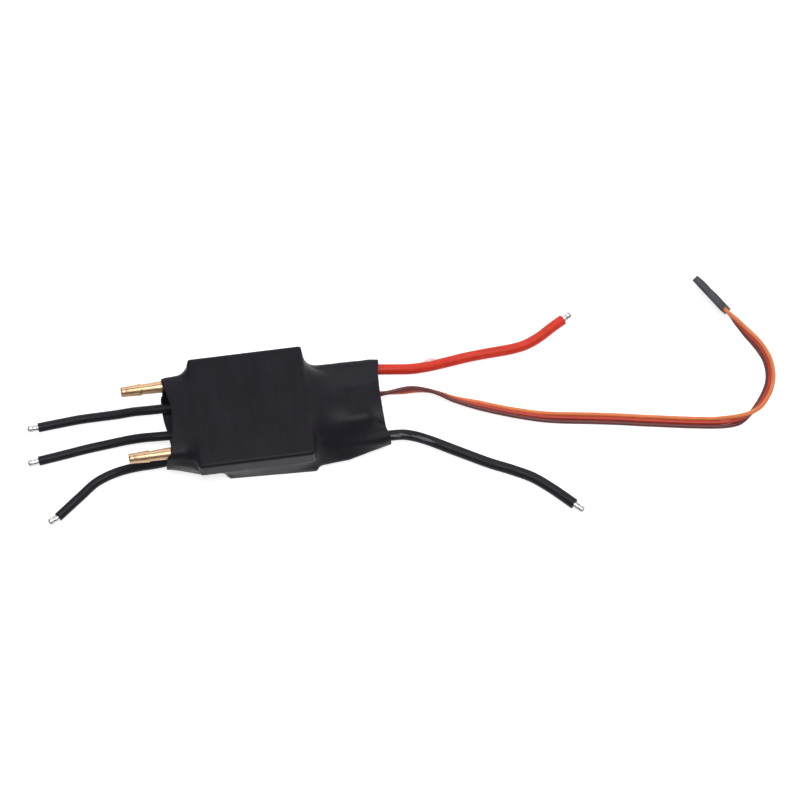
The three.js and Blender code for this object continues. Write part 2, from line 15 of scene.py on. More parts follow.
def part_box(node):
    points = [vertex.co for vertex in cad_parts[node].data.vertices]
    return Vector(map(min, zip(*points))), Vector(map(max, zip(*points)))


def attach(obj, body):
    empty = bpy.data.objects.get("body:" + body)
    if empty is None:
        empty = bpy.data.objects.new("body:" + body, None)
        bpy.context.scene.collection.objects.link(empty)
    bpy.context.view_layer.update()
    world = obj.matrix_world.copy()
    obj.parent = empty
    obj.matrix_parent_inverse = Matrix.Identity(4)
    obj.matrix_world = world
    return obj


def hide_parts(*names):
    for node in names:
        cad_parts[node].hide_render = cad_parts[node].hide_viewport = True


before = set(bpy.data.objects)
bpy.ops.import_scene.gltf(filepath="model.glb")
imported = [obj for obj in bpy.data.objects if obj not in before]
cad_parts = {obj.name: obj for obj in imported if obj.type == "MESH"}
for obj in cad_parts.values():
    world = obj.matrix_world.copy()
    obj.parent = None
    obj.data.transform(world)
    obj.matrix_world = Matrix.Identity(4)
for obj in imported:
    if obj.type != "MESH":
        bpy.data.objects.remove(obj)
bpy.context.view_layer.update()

MM = 0.001

# ---------------- routes, as in the CAD model
# Millimetres. The last point of a power wire is the end of its bare tip; the jacket ends at the one before.
MOTOR_WIRE_ROUTES = {
    "a": [
        (-18.4, 7.2, 5.3), (-22.5, 7.2, 5.2), (-28.1, 7.2, 5), (-32.2, 7.5, 4.6), (-37.3, 8.1, 3.6),
        (-42.8, 8.4, 2.5), (-48.4, 8.7, 1.8), (-54.8, 8.8, 1.5), (-61.3, 8.4, 1.5), (-68.3, 7.9, 1.5),
        (-71.8, 7.9, 1.5),
    ],
    "b": [
        (-18.4, -2.2, 5.3), (-22.5, -2.3, 5.2), (-27.2, -2.2, 5), (-31.6, -1.8, 4.6), (-35.4, -1.3, 3.8),
        (-39.6, -1, 2.9), (-46.1, -1.1, 1.9), (-52.6, -1.5, 1.5), (-62.4, -2.7, 1.5), (-69.3, -3.5, 1.5),
        (-72.8, -3.9, 1.5),
    ],
    "c": [
        (-18.4, -11, 5.3), (-22.5, -11, 5.2), (-28.6, -11, 5), (-32.7, -11.1, 4.6), (-37.5, -10.8, 3.6),
        (-41.4, -10.7, 2.6), (-45.1, -11, 1.8), (-51.7, -13.2, 1.5), (-57.6, -17.5, 1.5),
        (-65.2, -23.3, 1.5), (-68.3, -24.7, 1.5),
    ],
}
BATTERY_WIRE_ROUTES = {
    "positive": [
        (18.4, 11.5, 5.3), (24, 11.6, 5.3), (30, 11.35, 5.4), (36, 10.95, 5.8), (42, 10.35, 6),
        (47, 9.8, 5.7), (52.3, 9.6, 4.7), (58.2, 10.2, 3.4), (64.1, 11.2, 2.4), (70.2, 12.1, 1.9),
        (76.3, 12.6, 1.7), (81.4, 12.8, 1.7), (86.5, 13.1, 1.7), (90, 13.7, 1.7), (93.3, 14.9, 1.7),
        (96.4, 16.5, 1.7), (99.8, 18.6, 1.7), (103.9, 20.9, 1.7), (106.7, 22.5, 1.7),
    ],
    "negative": [
        (18.4, -12.2, 5.3), (24, -12.5, 5.3), (30, -12.7, 5.4), (36, -12.7, 5.8), (42.4, -12.7, 6),
        (47, -12.8, 5.4), (50, -13.3, 4.4), (53.2, -14.3, 3.3), (56.5, -15.7, 2.4), (59.7, -17.4, 1.9),
        (66.1, -21.1, 1.7), (72.9, -25, 1.7), (79.8, -28.4, 1.7), (85.6, -31.7, 1.7), (90.8, -36.1, 1.7),
        (97.2, -42.5, 1.7), (99.7, -45.1, 1.7),
    ],
}
# The middle of the flat lead, and its roll in degrees.
SERVO_ROUTE = [
    (17, 1.5, 3.5, 0), (20, 1.6, 2.9, 0), (24, 1.8, 2.3, 0), (30, 2, 2.3, 0), (36, 2.2, 2.35, -6),
    (38.5, 2.4, 3.3, -30), (41.6, 2.5, 4.5, -60), (44.3, 2.4, 4.9, -70), (46.9, 2.4, 5, -82),
    (49.5, 2.5, 4.8, -92), (52.3, 2.6, 4.2, -88), (55.3, 2.4, 3.3, -76), (58.6, 1.6, 2.5, -68),
    (61.2, 0.4, 2.2, -62), (64.2, -1.3, 1.85, -52), (67.9, -2.9, 1.6, -40), (71.6, -4.3, 1.3, -26),
    (76.1, -6.1, 1.2, -22), (80.6, -7.8, 1.15, -20), (86.3, -9.7, 1.05, -15), (92.4, -11.4, 0.9, -9),
    (97.3, -12.4, 0.8, -4), (102.3, -13.2, 0.7, 0), (107.2, -14, 0.7, 0), (112.2, -14.9, 0.7, 0),
    (117.5, -15.9, 0.7, 0), (122.8, -17, 0.7, 0), (128, -18, 0.7, 0), (133.1, -19, 0.7, 0),
    (137.3, -19.8, 0.7, 0), (141.4, -20.5, 0.7, 0), (146.4, -21.3, 0.8, 2), (150.2, -21.7, 1.2, 16),
    (154, -21.7, 1.8, 50), (157.7, -20.4, 2.1, 95), (160.8, -18.3, 2, 128), (163.4, -15.5, 2, 138),
    (165.4, -12.4, 2, 136), (166.7, -9.1, 2, 131), (167.1, -5.7, 2.1, 127), (166.8, -2.3, 2.2, 125),
    (165.6, 1.1, 2.4, 125), (163.9, 4.3, 2.7, 123), (162.1, 6.9, 3.1, 115), (160.5, 9.3, 3.5, 101),
    (159, 11.6, 3.9, 84), (157.5, 13.9, 4.1, 71), (155.4, 17.4, 4.13, 68),
]

MOTOR_JACKET_RADIUS = 1.5 * MM
BATTERY_JACKET_RADIUS = 1.7 * MM
TIP_RADIUS = 1.05 * MM
STRAND_RADIUS = 0.66 * MM
STRAND_PITCH = 1.35 * MM
CONTACT_PITCH = 2.54 * MM
SERVO_FAN_POINTS = 3  # the strands spread to the contact pitch over this many last points

LEFT_MOUTH_X = -27.4 * MM
RIGHT_MOUTH_X = 41.6 * MM

CONNECTOR_REAR = (0.1565, 0.0156, 0.00413)
CONNECTOR_HEADING_DEG = 121
CONNECTOR_ROLL_DEG = 68

NOZZLE_Y = {"water_nozzle_inlet": 11.9 * MM, "water_nozzle_outlet": -11.0 * MM}
NOZZLE_Z = 12.0 * MM
NOZZLE_TIP_X = -40.4 * MM


# ---------------- camera, stage and light
CAMERA_AZIMUTH_DEG = -8.28
CAMERA_ELEVATION_DEG = 68.0
CAMERA_LOOK_AT = Vector((0.04769, 0.00132, 0.0))
CAMERA_DISTANCE = 1.0
CAMERA_LENS_MM = 139.9
SENSOR_WIDTH_MM = 36

WORLD_COLOUR = (0.95, 0.97, 1.0, 1)
WORLD_STRENGTH = 0.16
# Name, place, width and height, watts.
SOFTBOXES = [
    ("key_softbox", (0.1, -0.15, 1.15), (0.8, 0.6), 12),
    ("back_softbox", (0.1, 0.95, 0.62), (1.2, 0.7), 6),
    ("left_softbox", (-0.9, 0.1, 0.5), (0.5, 0.8), 0.7),
    ("right_softbox", (0.95, 0.35, 0.45), (0.5, 0.8), 3),
]
FLOOR_HALF = 2.0
FLOOR_DROP = 0.02 * MM  # keeps the floor clear of what lies on it
FLOOR_GLOW = 0.74


def add_camera():
    azimuth = math.radians(CAMERA_AZIMUTH_DEG)
    elevation = math.radians(CAMERA_ELEVATION_DEG)
    flat = math.cos(elevation)
    back = Vector((math.sin(azimuth) * flat, -math.cos(azimuth) * flat, math.sin(elevation)))
    camera = bpy.data.objects.new("camera", bpy.data.cameras.new("camera"))
    bpy.context.scene.collection.objects.link(camera)
    camera.data.lens = CAMERA_LENS_MM
    camera.data.sensor_width = SENSOR_WIDTH_MM
    camera.data.clip_start = 0.01
    camera.location = CAMERA_LOOK_AT + back * CAMERA_DISTANCE
    camera.rotation_mode = "QUATERNION"
    camera.rotation_quaternion = (-back).to_track_quat("-Z", "Y")
    bpy.context.scene.camera = camera


def add_softbox(name, location, size, watts):
    light = bpy.data.lights.new(name, "AREA")
    light.shape = "RECTANGLE"
    light.size, light.size_y = size
    light.energy = watts
    softbox = bpy.data.objects.new(name, light)
    bpy.context.scene.collection.objects.link(softbox)
    softbox.location = location
    aim = CAMERA_LOOK_AT - Vector(location)
    softbox.rotation_mode = "QUATERNION"
    softbox.rotation_quaternion = aim.to_track_quat("-Z", "Y")
    softbox.visible_camera = False


def add_light():
    world = bpy.data.worlds.new("studio")
    world.use_nodes = True
    background = world.node_tree.nodes["Background"]
    background.inputs["Color"].default_value = WORLD_COLOUR
    background.inputs["Strength"].default_value = WORLD_STRENGTH
    bpy.context.scene.world = world
    for softbox in SOFTBOXES:
        add_softbox(*softbox)
    bpy.context.scene.view_settings.view_transform = "Standard"


def add_floor():
    half = FLOOR_HALF
    corners = [(-half, -half, 0), (half, -half, 0), (half, half, 0), (-half, half, 0)]
    floor = new_mesh("floor", corners, [(0, 1, 2, 3)])
    floor.location.z = -FLOOR_DROP
    look = Look("floor_paper", (0.5, 0.5, 0.5), 0.9)
    look.set("Specular IOR Level", 0.1)
    look.set("Emission Color", (1, 1, 1, 1))
    look.set("Emission Strength", FLOOR_GLOW)
    grain = look.noise(900, 3)
    look.colour_from(grain, (0.49, 0.49, 0.49), (0.51, 0.51, 0.51))
    floor.data.materials.append(look.material)


# ---------------- mesh helpers
def new_mesh(name, vertices, faces, sharp_deg=None):
    """A linked mesh object with smooth faces turned outwards, creased past an angle."""
    mesh = bpy.data.meshes.new(name)
    mesh.from_pydata([tuple(v) for v in vertices], [], faces)
    mesh.update()
    shell = bmesh.new()
    shell.from_mesh(mesh)
    bmesh.ops.recalc_face_normals(shell, faces=shell.faces)
    shell.to_mesh(mesh)
    shell.free()
    mesh.shade_smooth()
    if sharp_deg is not None:
        mesh.set_sharp_from_angle(angle=math.radians(sharp_deg))
    made = bpy.data.objects.new(name, mesh)
    bpy.context.scene.collection.objects.link(made)
    return made


def finish_piece(piece, look, slot, *nodes):
    """Gives a piece its material, and has it stand for its CAD nodes."""
    piece.data.materials.clear()
    piece.data.materials.append(look.material)
    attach(piece, "root")
    if nodes:
        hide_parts(*nodes)


def unit(vectors):
    return vectors / np.maximum(np.linalg.norm(vectors, axis=-1, keepdims=True), 1e-12)


def distances(line):
    steps = np.linalg.norm(np.diff(line, axis=0), axis=1)
    return np.concatenate([[0], np.cumsum(steps)])


def cubic(knots, values, at):
    """Rows of values at places between knots, by cubic pieces that share their slopes."""
    slopes = np.gradient(values, knots, axis=0)
    piece = np.clip(np.searchsorted(knots, at, side="right") - 1, 0, len(knots) - 2)
    width = (knots[piece + 1] - knots[piece])[:, None]
    t = (at - knots[piece])[:, None] / width
    start, end = values[piece], values[piece + 1]
    rise, fall = slopes[piece] * width, slopes[piece + 1] * width
    return (
        (2 * t**3 - 3 * t**2 + 1) * start
        + (t**3 - 2 * t**2 + t) * rise
        + (3 * t**2 - 2 * t**3) * end
        + (t**3 - t**2) * fall
    )


def smooth_line(points, step=0.5 * MM):
    """A curve through the points, in steps of about that length."""
    points = np.array(points, float)
    knots = distances(points)
    count = max(2, round(knots[-1] / step)) + 1
    return cubic(knots, points, np.linspace(0, knots[-1], count))


def axes_along(line):
    """Directions ahead, to the side and up along a line, carried along it without twist."""
    ahead = unit(np.gradient(line, axis=0))
    side = unit(np.cross(ahead[0], (0, 0, 1)))
    sides = [side]
    for direction in ahead[1:]:
        side = unit(side - direction * (side @ direction))
        sides.append(side)
    sides = np.array(sides)
    return ahead, sides, np.cross(sides, ahead)


def bend_grid(line, s, sideways, upwards):
    """Points given by a distance along a line and their offsets to its side and upwards."""
    along = distances(line)
    inside = np.clip(s, 0, along[-1])

    def at(values):
        return np.stack([np.interp(inside, along, values[:, k]) for k in range(3)], axis=-1)

    ahead, side, up = (at(direction) for direction in axes_along(line))
    centre = at(line) + ahead * (s - inside)[..., None]
    return centre + side * sideways[..., None] + up * upwards[..., None]


def swept(name, line, profile, sides, looped=False, shape=None, sharp_deg=35):
    """A turned solid bent along a line. The profile holds (distance, radius) pairs, from one centre
    to the other, or all the way round when looped. shape(distance, angle) scales the radius."""
    s, r = np.array(profile, float).T
    angles = 2 * np.pi * np.arange(sides) / sides
    s_grid, angle_grid = np.meshgrid(s, angles, indexing="ij")
    radius = r[:, None] * (shape(s_grid, angle_grid) if shape else 1)
    radius = np.broadcast_to(radius, s_grid.shape)
    points = bend_grid(line, s_grid, radius * np.cos(angle_grid), radius * np.sin(angle_grid))
    vertices, rings = [], []
    for i, ring in enumerate(points):
        first = len(vertices)
        if r[i] > 0:
            vertices.extend(ring)
            rings.append(list(range(first, first + sides)))
        else:
            vertices.append(ring.mean(axis=0))
            rings.append([first])
    pairs = list(zip(rings[:-1], rings[1:]))
    if looped:
        pairs.append((rings[-1], rings[0]))
    faces = []
    for low, high in pairs:
        faces.extend(faces_between(low, high, sides))
    return new_mesh(name, vertices, faces, sharp_deg)


def faces_between(low, high, sides):
    """The faces that join two rings, either of which may be a single point."""
    faces = []
    for j in range(sides):
        k = (j + 1) % sides
        if len(low) == 1 and len(high) == 1:
            continue
        if len(low) == 1:
            faces.append((low[0], high[k], high[j]))
        elif len(high) == 1:
            faces.append((low[j], low[k], high[0]))
        else:
            faces.append((low[j], low[k], high[k], high[j]))
    return faces


def apply_modifiers(piece):
    graph = bpy.context.evaluated_depsgraph_get()
    mesh = bpy.data.meshes.new_from_object(piece.evaluated_get(graph))
    piece.modifiers.clear()
    piece.data = mesh


def box_mesh(name, low, high):
    (x0, y0, z0), (x1, y1, z1) = low, high
    corners = [(x, y, z) for x in (x0, x1) for y in (y0, y1) for z in (z0, z1)]
    faces = [(0, 1, 3, 2), (4, 6, 7, 5), (0, 4, 5, 1), (2, 3, 7, 6), (0, 2, 6, 4), (1, 5, 7, 3)]
    return new_mesh(name, corners, faces)


BEVEL_SEGMENTS = 2


def bevel_edges(piece, width, angle_deg):
    bevel = piece.modifiers.new("bevel", "BEVEL")
    bevel.width = width
    bevel.segments = BEVEL_SEGMENTS
    bevel.limit_method = "ANGLE"
    bevel.angle_limit = math.radians(angle_deg)
    bevel.harden_normals = False


# ---------------- procedural materials
NOISE_ROUGHNESS = 0.55


class Look:
    """A Principled material with helpers for the few node patterns that the pieces use."""

    def __init__(self, name, colour, roughness, metallic=0.0):
        self.material = bpy.data.materials.new(name)
        self.material.use_nodes = True
        self.tree = self.material.node_tree
        self.shader = self.tree.nodes["Principled BSDF"]
        self.material.diffuse_color = (*colour, 1)
        self.set("Base Color", (*colour, 1))
        self.set("Roughness", roughness)
        self.set("Metallic", metallic)
        coordinates = self.tree.nodes.new("ShaderNodeTexCoord")
        self.place = coordinates.outputs["Object"]

    def set(self, socket, value):
        self.shader.inputs[socket].default_value = value

    def link(self, output, socket):
        self.tree.links.new(output, socket)

    def noise(self, scale, detail, stretch=(1, 1, 1)):
        """Fractal noise with a scale per metre, drawn out along an axis whose stretch is small."""
        mapping = self.tree.nodes.new("ShaderNodeMapping")
        mapping.inputs["Scale"].default_value = stretch
        self.link(self.place, mapping.inputs["Vector"])
        noise = self.tree.nodes.new("ShaderNodeTexNoise")
        noise.inputs["Scale"].default_value = scale
        noise.inputs["Detail"].default_value = detail
        noise.inputs["Roughness"].default_value = NOISE_ROUGHNESS
        self.link(mapping.outputs["Vector"], noise.inputs["Vector"])
        return noise.outputs[0]

    def span(self, value, low, high, start=0.3, end=0.7):
        """The value from start to end, mapped to low to high."""
        span = self.tree.nodes.new("ShaderNodeMapRange")
        for socket, number in (("From Min", start), ("From Max", end), ("To Min", low), ("To Max", high)):
            span.inputs[socket].default_value = number
        self.link(value, span.inputs["Value"])
        return span.outputs["Result"]

    def combine(self, operation, first, second):
        """Two values, or a value and a number, put together."""
        math_node = self.tree.nodes.new("ShaderNodeMath")
        math_node.operation = operation
        for socket, value in zip(math_node.inputs, (first, second)):
            if isinstance(value, (int, float)):
                socket.default_value = value
            else:
                self.link(value, socket)
        return math_node.outputs[0]

    def blend(self, first, first_share, second, second_share):
        """Two values added up in those shares."""
        first_part = self.combine("MULTIPLY", first, first_share)
        second_part = self.combine("MULTIPLY", second, second_share)
        return self.combine("ADD", first_part, second_part)

    def ramp(self, value, *stops):
        """A colour ramp through (position, colour) stops."""
        ramp = self.tree.nodes.new("ShaderNodeValToRGB")
        elements = ramp.color_ramp.elements
        while len(elements) < len(stops):
            elements.new(0.5)
        for element, (position, colour) in zip(elements, stops):
            element.position = position
            element.color = (*colour, 1)
        self.link(value, ramp.inputs[0])
        return ramp.outputs["Color"]

    def colour_from(self, value, dark, light, start=0.3, end=0.7):
        self.link(self.ramp(value, (start, dark), (end, light)), self.shader.inputs["Base Color"])

    def roughness_from(self, value, low, high, start=0.3, end=0.7):
        self.link(self.span(value, low, high, start, end), self.shader.inputs["Roughness"])

    def bump(self, height, distance, strength):
        bump = self.tree.nodes.new("ShaderNodeBump")
        bump.inputs["Strength"].default_value = strength
        bump.inputs["Distance"].default_value = distance
        self.link(height, bump.inputs["Height"])
        self.link(bump.outputs["Normal"], self.shader.inputs["Normal"])


def sleeve_look():
    """Shrunk polyolefin: blue-black, satin, faintly drawn across its width, with a fine skin grain."""
    look = Look("shrink_film", (0.0115, 0.0115, 0.0145), 0.42)
    look.set("Specular IOR Level", 0.10)
    drawn = look.noise(700, 4, stretch=(1, 0.12, 0.12))
    cloud = look.noise(90, 3)
    grain = look.noise(9000, 2)
    both = look.blend(drawn, 0.5, cloud, 0.5)
    look.colour_from(both, (0.0092, 0.0083, 0.0120), (0.0120, 0.0109, 0.0157), 0.36, 0.64)
    look.roughness_from(both, 0.38, 0.46, 0.36, 0.64)
    look.bump(look.blend(drawn, 0.8, grain, 0.35), 0.03 * MM, 0.55)
    return look


def silicone_look(name, dark, light, dust, roughness=(0.4, 0.6)):
    """Soft silicone rubber: dull sheen, handling marks and a little dust."""
    look = Look(name, light, sum(roughness) / 2)
    look.set("Specular IOR Level", 0.20)
    marks = look.noise(420, 5)
    fine = look.noise(5200, 3)
    specks = look.noise(2600, 2)
    value = look.blend(marks, 0.6, fine, 0.4)
    body = look.ramp(value, (0.36, dark), (0.64, light))
    mix = look.tree.nodes.new("ShaderNodeMix")
    mix.data_type = "RGBA"
    look.link(look.span(specks, 0.0, 0.55, 0.66, 0.78), mix.inputs["Factor"])
    look.link(body, mix.inputs[6])
    mix.inputs[7].default_value = (*dust, 1)
    look.link(mix.outputs[2], look.shader.inputs["Base Color"])
    look.roughness_from(marks, *roughness)
    look.bump(value, 0.02 * MM, 0.6)
    return look


def strand_look(name, dark, light):
    """Extruded PVC insulation of the servo lead: smooth and slightly waxy."""
    look = Look(name, light, 0.42)
    look.set("Specular IOR Level", 0.28)
    tint = look.noise(260, 4)
    fine = look.noise(6000, 2)
    look.colour_from(tint, dark, light)
    look.roughness_from(tint, 0.36, 0.5)
    look.bump(fine, 0.012 * MM, 0.5)
    return look


def brass_look():
    """Turned brass: fine tool marks round the axis, with warmer and darker patches of tarnish."""
    look = Look("turned_brass", (0.83, 0.56, 0.27), 0.24, 1.0)
    turning = look.noise(9000, 2, stretch=(1, 0.04, 0.04))
    tarnish = look.noise(500, 4)
    look.link(
        look.ramp(tarnish, (0.3, (0.50, 0.32, 0.18)), (0.5, (0.56, 0.37, 0.22)), (0.75, (0.62, 0.42, 0.26))),
        look.shader.inputs["Base Color"],
    )
    look.roughness_from(tarnish, 0.34, 0.40)
    look.bump(turning, 0.001 * MM, 0.3)
    return look


def tinned_look():
    """Solder over copper strands: bright, lumpy, with dull patches."""
    look = Look("tinned_copper", (0.76, 0.76, 0.75), 0.25, 1.0)
    patch = look.noise(1400, 4)
    look.colour_from(patch, (0.36, 0.355, 0.35), (0.66, 0.655, 0.65))
    look.roughness_from(patch, 0.22, 0.38)
    look.bump(look.noise(2600, 3), 0.012 * MM, 0.6)
    return look


def moulded_look(name, dark, light, roughness=(0.45, 0.6)):
    """Moulded plastic or epoxy with a fine spark texture."""
    look = Look(name, light, sum(roughness) / 2)
    look.set("Specular IOR Level", 0.45)
    cloud = look.noise(700, 4)
    look.colour_from(cloud, dark, light)
    look.roughness_from(cloud, *roughness)
    look.bump(look.noise(12000, 2), 0.02 * MM, 0.6)
    return look


def metal_look(name, dark, light, roughness=(0.25, 0.4), stretch=(1, 1, 1)):
    """Worked metal: brushed along the axis whose stretch is small."""
    look = Look(name, light, sum(roughness) / 2, 1.0)
    brushed = look.noise(6000, 3, stretch=stretch)
    patch = look.noise(350, 4)
    look.colour_from(patch, dark, light)
    look.roughness_from(brushed, *roughness)
    look.bump(brushed, 0.01 * MM, 0.5)
    return look


def board_look():
    """Green solder mask over copper tracks, seen as a faint pattern under the lacquer."""
    look = Look("solder_mask", (0.01, 0.09, 0.035), 0.3)
    cells = look.tree.nodes.new("ShaderNodeTexVoronoi")
    cells.distance = "MANHATTAN"
    cells.inputs["Scale"].default_value = 520
    look.link(look.place, cells.inputs["Vector"])
    look.colour_from(cells.outputs["Distance"], (0.018, 0.14, 0.05), (0.006, 0.06, 0.024), 0.25, 0.5)
    look.set("Coat Weight", 0.3)
    look.set("Coat Roughness", 0.2)
    look.roughness_from(look.noise(800, 3), 0.25, 0.4)
    look.bump(cells.outputs["Distance"], 0.03 * MM, 0.4)
    return look


def glue_look(name, dark, light):
    """Dried hot-melt or flux residue: milky and half clear."""
    look = Look(name, light, 0.35)
    look.set("Subsurface Weight", 0.4)
    look.set("Subsurface Radius", (0.001, 0.001, 0.001))
    look.set("Specular IOR Level", 0.6)
    cloud = look.noise(2500, 3)
    look.colour_from(cloud, dark, light)
    look.roughness_from(cloud, 0.2, 0.5)
    look.bump(cloud, 0.04 * MM, 0.8)
    return look


def make_looks():
    return {
        "shrink": sleeve_look(),
        "black_silicone": silicone_look(
            "black_silicone", (0.0052, 0.0050, 0.0080), (0.0098, 0.0094, 0.0145), (0.030, 0.030, 0.038)
        ),
        "red_silicone": silicone_look(
            "red_silicone", (0.46, 0.022, 0.010), (0.60, 0.040, 0.016), (0.66, 0.10, 0.06), (0.38, 0.55)
        ),
        "brown": strand_look("brown_pvc", (0.095, 0.022, 0.022), (0.130, 0.032, 0.032)),
        "red": strand_look("red_pvc", (0.36, 0.030, 0.016), (0.45, 0.045, 0.024)),
        "orange": strand_look("orange_pvc", (0.56, 0.140, 0.040), (0.66, 0.190, 0.062)),
        "brass": brass_look(),
        "tinned": tinned_look(),
        "connector": moulded_look("connector_nylon", (0.030, 0.030, 0.038), (0.050, 0.050, 0.062)),
        "chip": moulded_look("chip_epoxy", (0.010, 0.010, 0.011), (0.020, 0.020, 0.022)),
        "ferrite": moulded_look("ferrite_core", (0.028, 0.028, 0.032), (0.050, 0.050, 0.055), (0.6, 0.75)),
        "can": moulded_look("can_sleeve", (0.010, 0.018, 0.055), (0.020, 0.032, 0.085), (0.25, 0.4)),
        "pad": moulded_look("silicone_pad", (0.20, 0.28, 0.38), (0.27, 0.36, 0.46), (0.75, 0.9)),
        "aluminium": metal_look(
            "milled_aluminium", (0.60, 0.61, 0.63), (0.74, 0.75, 0.77), stretch=(1, 0.08, 1)
        ),
        "steel": metal_look("plug_steel", (0.32, 0.32, 0.34), (0.45, 0.45, 0.47)),
        "gold": metal_look("gold_contact", (0.74, 0.50, 0.17), (0.90, 0.66, 0.28), (0.2, 0.32)),
        "board": board_look(),
        "glue": glue_look("dried_glue", (0.050, 0.050, 0.060), (0.090, 0.090, 0.105)),
        "tinted_glue": glue_look("tinted_glue", (0.62, 0.36, 0.34), (0.82, 0.60, 0.57)),
    }


# ---------------- power wires
JACKET_SIDES = 32
BORE_DEPTH = 4 * MM  # how deep the jacket's end is modelled open round the core
TIP_HIDDEN = 3 * MM  # how much of the tip is inside the jacket


def jacket_shape(seed):
    """Slight unevenness of a soft extruded wall."""

    def shape(s, angle):
        slow = np.sin(s / (7.3 * MM) + seed) * np.cos(angle + 0.6 * seed)
        quick = np.sin(s / (2.1 * MM) + 2 * seed + 2 * angle)
        return 1 + 0.012 * slow + 0.004 * quick

    return shape


def jacket_profile(length, radius):
    bore = TIP_RADIUS + 0.04 * MM
    edge = 0.12 * MM
    body = np.arange(2 * edge, length - 2 * edge, 0.7 * MM)
    profile = [(0, 0), (0, radius - edge), (edge, radius)]
    profile += [(s, radius) for s in body]
    profile += [
        (length - edge, radius), (length - 0.3 * edge, radius - 0.3 * edge),
        (length, radius - edge), (length, bore + 0.5 * edge), (length - 0.5 * edge, bore),
        (length - BORE_DEPTH, bore), (length - BORE_DEPTH, 0),
    ]
    return profile


def tip_shape(strands, lay, seed):
    """Twisted strands that show through the solder."""

    def shape(s, angle):
        twist = angle * strands / 2 + 2 * np.pi * s / lay * strands / 2
        lobes = np.abs(np.sin(twist + seed))
        lumps = np.sin(s / (0.55 * MM) + 3 * np.cos(angle + seed))
        return 0.93 + 0.07 * lobes + 0.015 * lumps

    return shape


def tip_profile(start, end):
    """From inside the jacket to a blunt end that the solder has swollen."""
    r = TIP_RADIUS
    body = np.arange(start + 0.2 * MM, end - 1.5 * MM, 0.12 * MM)
    profile = [(start, 0), (start, 0.97 * r)] + [(s, 0.97 * r) for s in body]
    profile += [
        (end - 1.4 * MM, 0.97 * r), (end - 1.1 * MM, 0.99 * r), (end - 0.8 * MM, 1.02 * r),
        (end - 0.5 * MM, 1.02 * r), (end - 0.3 * MM, 0.95 * r), (end - 0.15 * MM, 0.82 * r),
        (end - 0.04 * MM, 0.55 * r), (end, 0.25 * r), (end, 0),
    ]
    return profile


def add_power_wire(name, route, radius, silicone, looks, seed):
    """A stranded silicone wire with its bare tinned tip."""
    line = smooth_line(route[:-1])
    to_tip = smooth_line(route)
    length, tip_end = distances(line)[-1], distances(to_tip)[-1]
    jacket = swept(
        f"{name}_insulation", line, jacket_profile(length, radius), JACKET_SIDES, shape=jacket_shape(seed)
    )
    finish_piece(jacket, looks[silicone], silicone, f"{name}_jacket")
    tip = swept(
        f"{name}_tip", to_tip, tip_profile(length - TIP_HIDDEN, tip_end), 36,
        shape=tip_shape(9, 11 * MM, seed), sharp_deg=60,
    )
    finish_piece(tip, looks["tinned"], "tinned_copper", f"{name}_core")
    return line


def add_power_wires(looks):
    lines = {}
    for seed, (phase, route) in enumerate(MOTOR_WIRE_ROUTES.items()):
        name = f"motor_wire_{phase}"
        lines[name] = add_power_wire(
            name, np.array(route) * MM, MOTOR_JACKET_RADIUS, "black_silicone", looks, 1 + seed
        )
    for seed, (pole, route) in enumerate(BATTERY_WIRE_ROUTES.items()):
        name = f"battery_wire_{pole}"
        silicone = "red_silicone" if pole == "positive" else "black_silicone"
        lines[name] = add_power_wire(
            name, np.array(route) * MM, BATTERY_JACKET_RADIUS, silicone, looks, 5 + seed
        )
    return lines


# ---------------- servo lead
def strand_points(side):
    """The middle of one strand of the flat lead: side -1 brown, 0 red, 1 orange."""
    centres = np.array([point[:3] for point in SERVO_ROUTE]) * MM
    last = len(centres) - 1
    points = []
    for i, centre in enumerate(centres):
        run = unit(centres[min(i + 1, last)] - centres[max(i - 1, 0)])
        left = unit(np.array((-run[1], run[0], 0)))
        up = np.cross(run, left)
        roll = math.radians(SERVO_ROUTE[i][3])
        across = left * math.cos(roll) + up * math.sin(roll)
        fan = max(0, i - (last - SERVO_FAN_POINTS)) / SERVO_FAN_POINTS
        pitch = STRAND_PITCH + (CONTACT_PITCH - STRAND_PITCH) * min(1, fan * 1.5)
        points.append(centre + side * pitch * across)
    return points


def add_servo_lead(looks):
    for side, colour in ((-1, "brown"), (0, "red"), (1, "orange")):
        line = smooth_line(strand_points(side), 0.6 * MM)
        length = distances(line)[-1]
        edge = 0.15 * MM
        body = np.arange(2 * edge, length - 2 * edge, 0.6 * MM)
        profile = [(0, 0), (0, STRAND_RADIUS - edge), (edge, STRAND_RADIUS)]
        profile += [(s, STRAND_RADIUS) for s in body]
        profile += [(length - edge, STRAND_RADIUS), (length, STRAND_RADIUS - edge), (length, 0)]
        strand = swept(f"servo_lead_{colour}", line, profile, 20)
        finish_piece(strand, looks[colour], f"{colour}_strand", f"servo_strand_{colour}")


# ---------------- what the sleeve is shrunk over
SKIN = 0.5 * MM  # the wall; the supports below are larger than their pieces by about this


def grown_box(node, grow, rounding, turn_deg=0.0):
    """A support round a CAD node's box: its middle, half sizes, rounding and turn in degrees."""
    corner, other = (np.array(c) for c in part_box(node))
    half = (other - corner) / 2 + np.array(grow)
    return (corner + other) / 2, half, rounding, turn_deg


def box_distance(p, middle, half, rounding, turn_deg):
    turn = math.radians(turn_deg)
    x, y = p[..., 0] - middle[0], p[..., 1] - middle[1]
    q = np.stack([
        x * math.cos(turn) + y * math.sin(turn),
        y * math.cos(turn) - x * math.sin(turn),
        p[..., 2] - middle[2],
    ], axis=-1)
    d = np.abs(q) - (half - rounding)
    outside = np.linalg.norm(np.maximum(d, 0), axis=-1)
    return outside + np.minimum(d.max(axis=-1), 0) - rounding


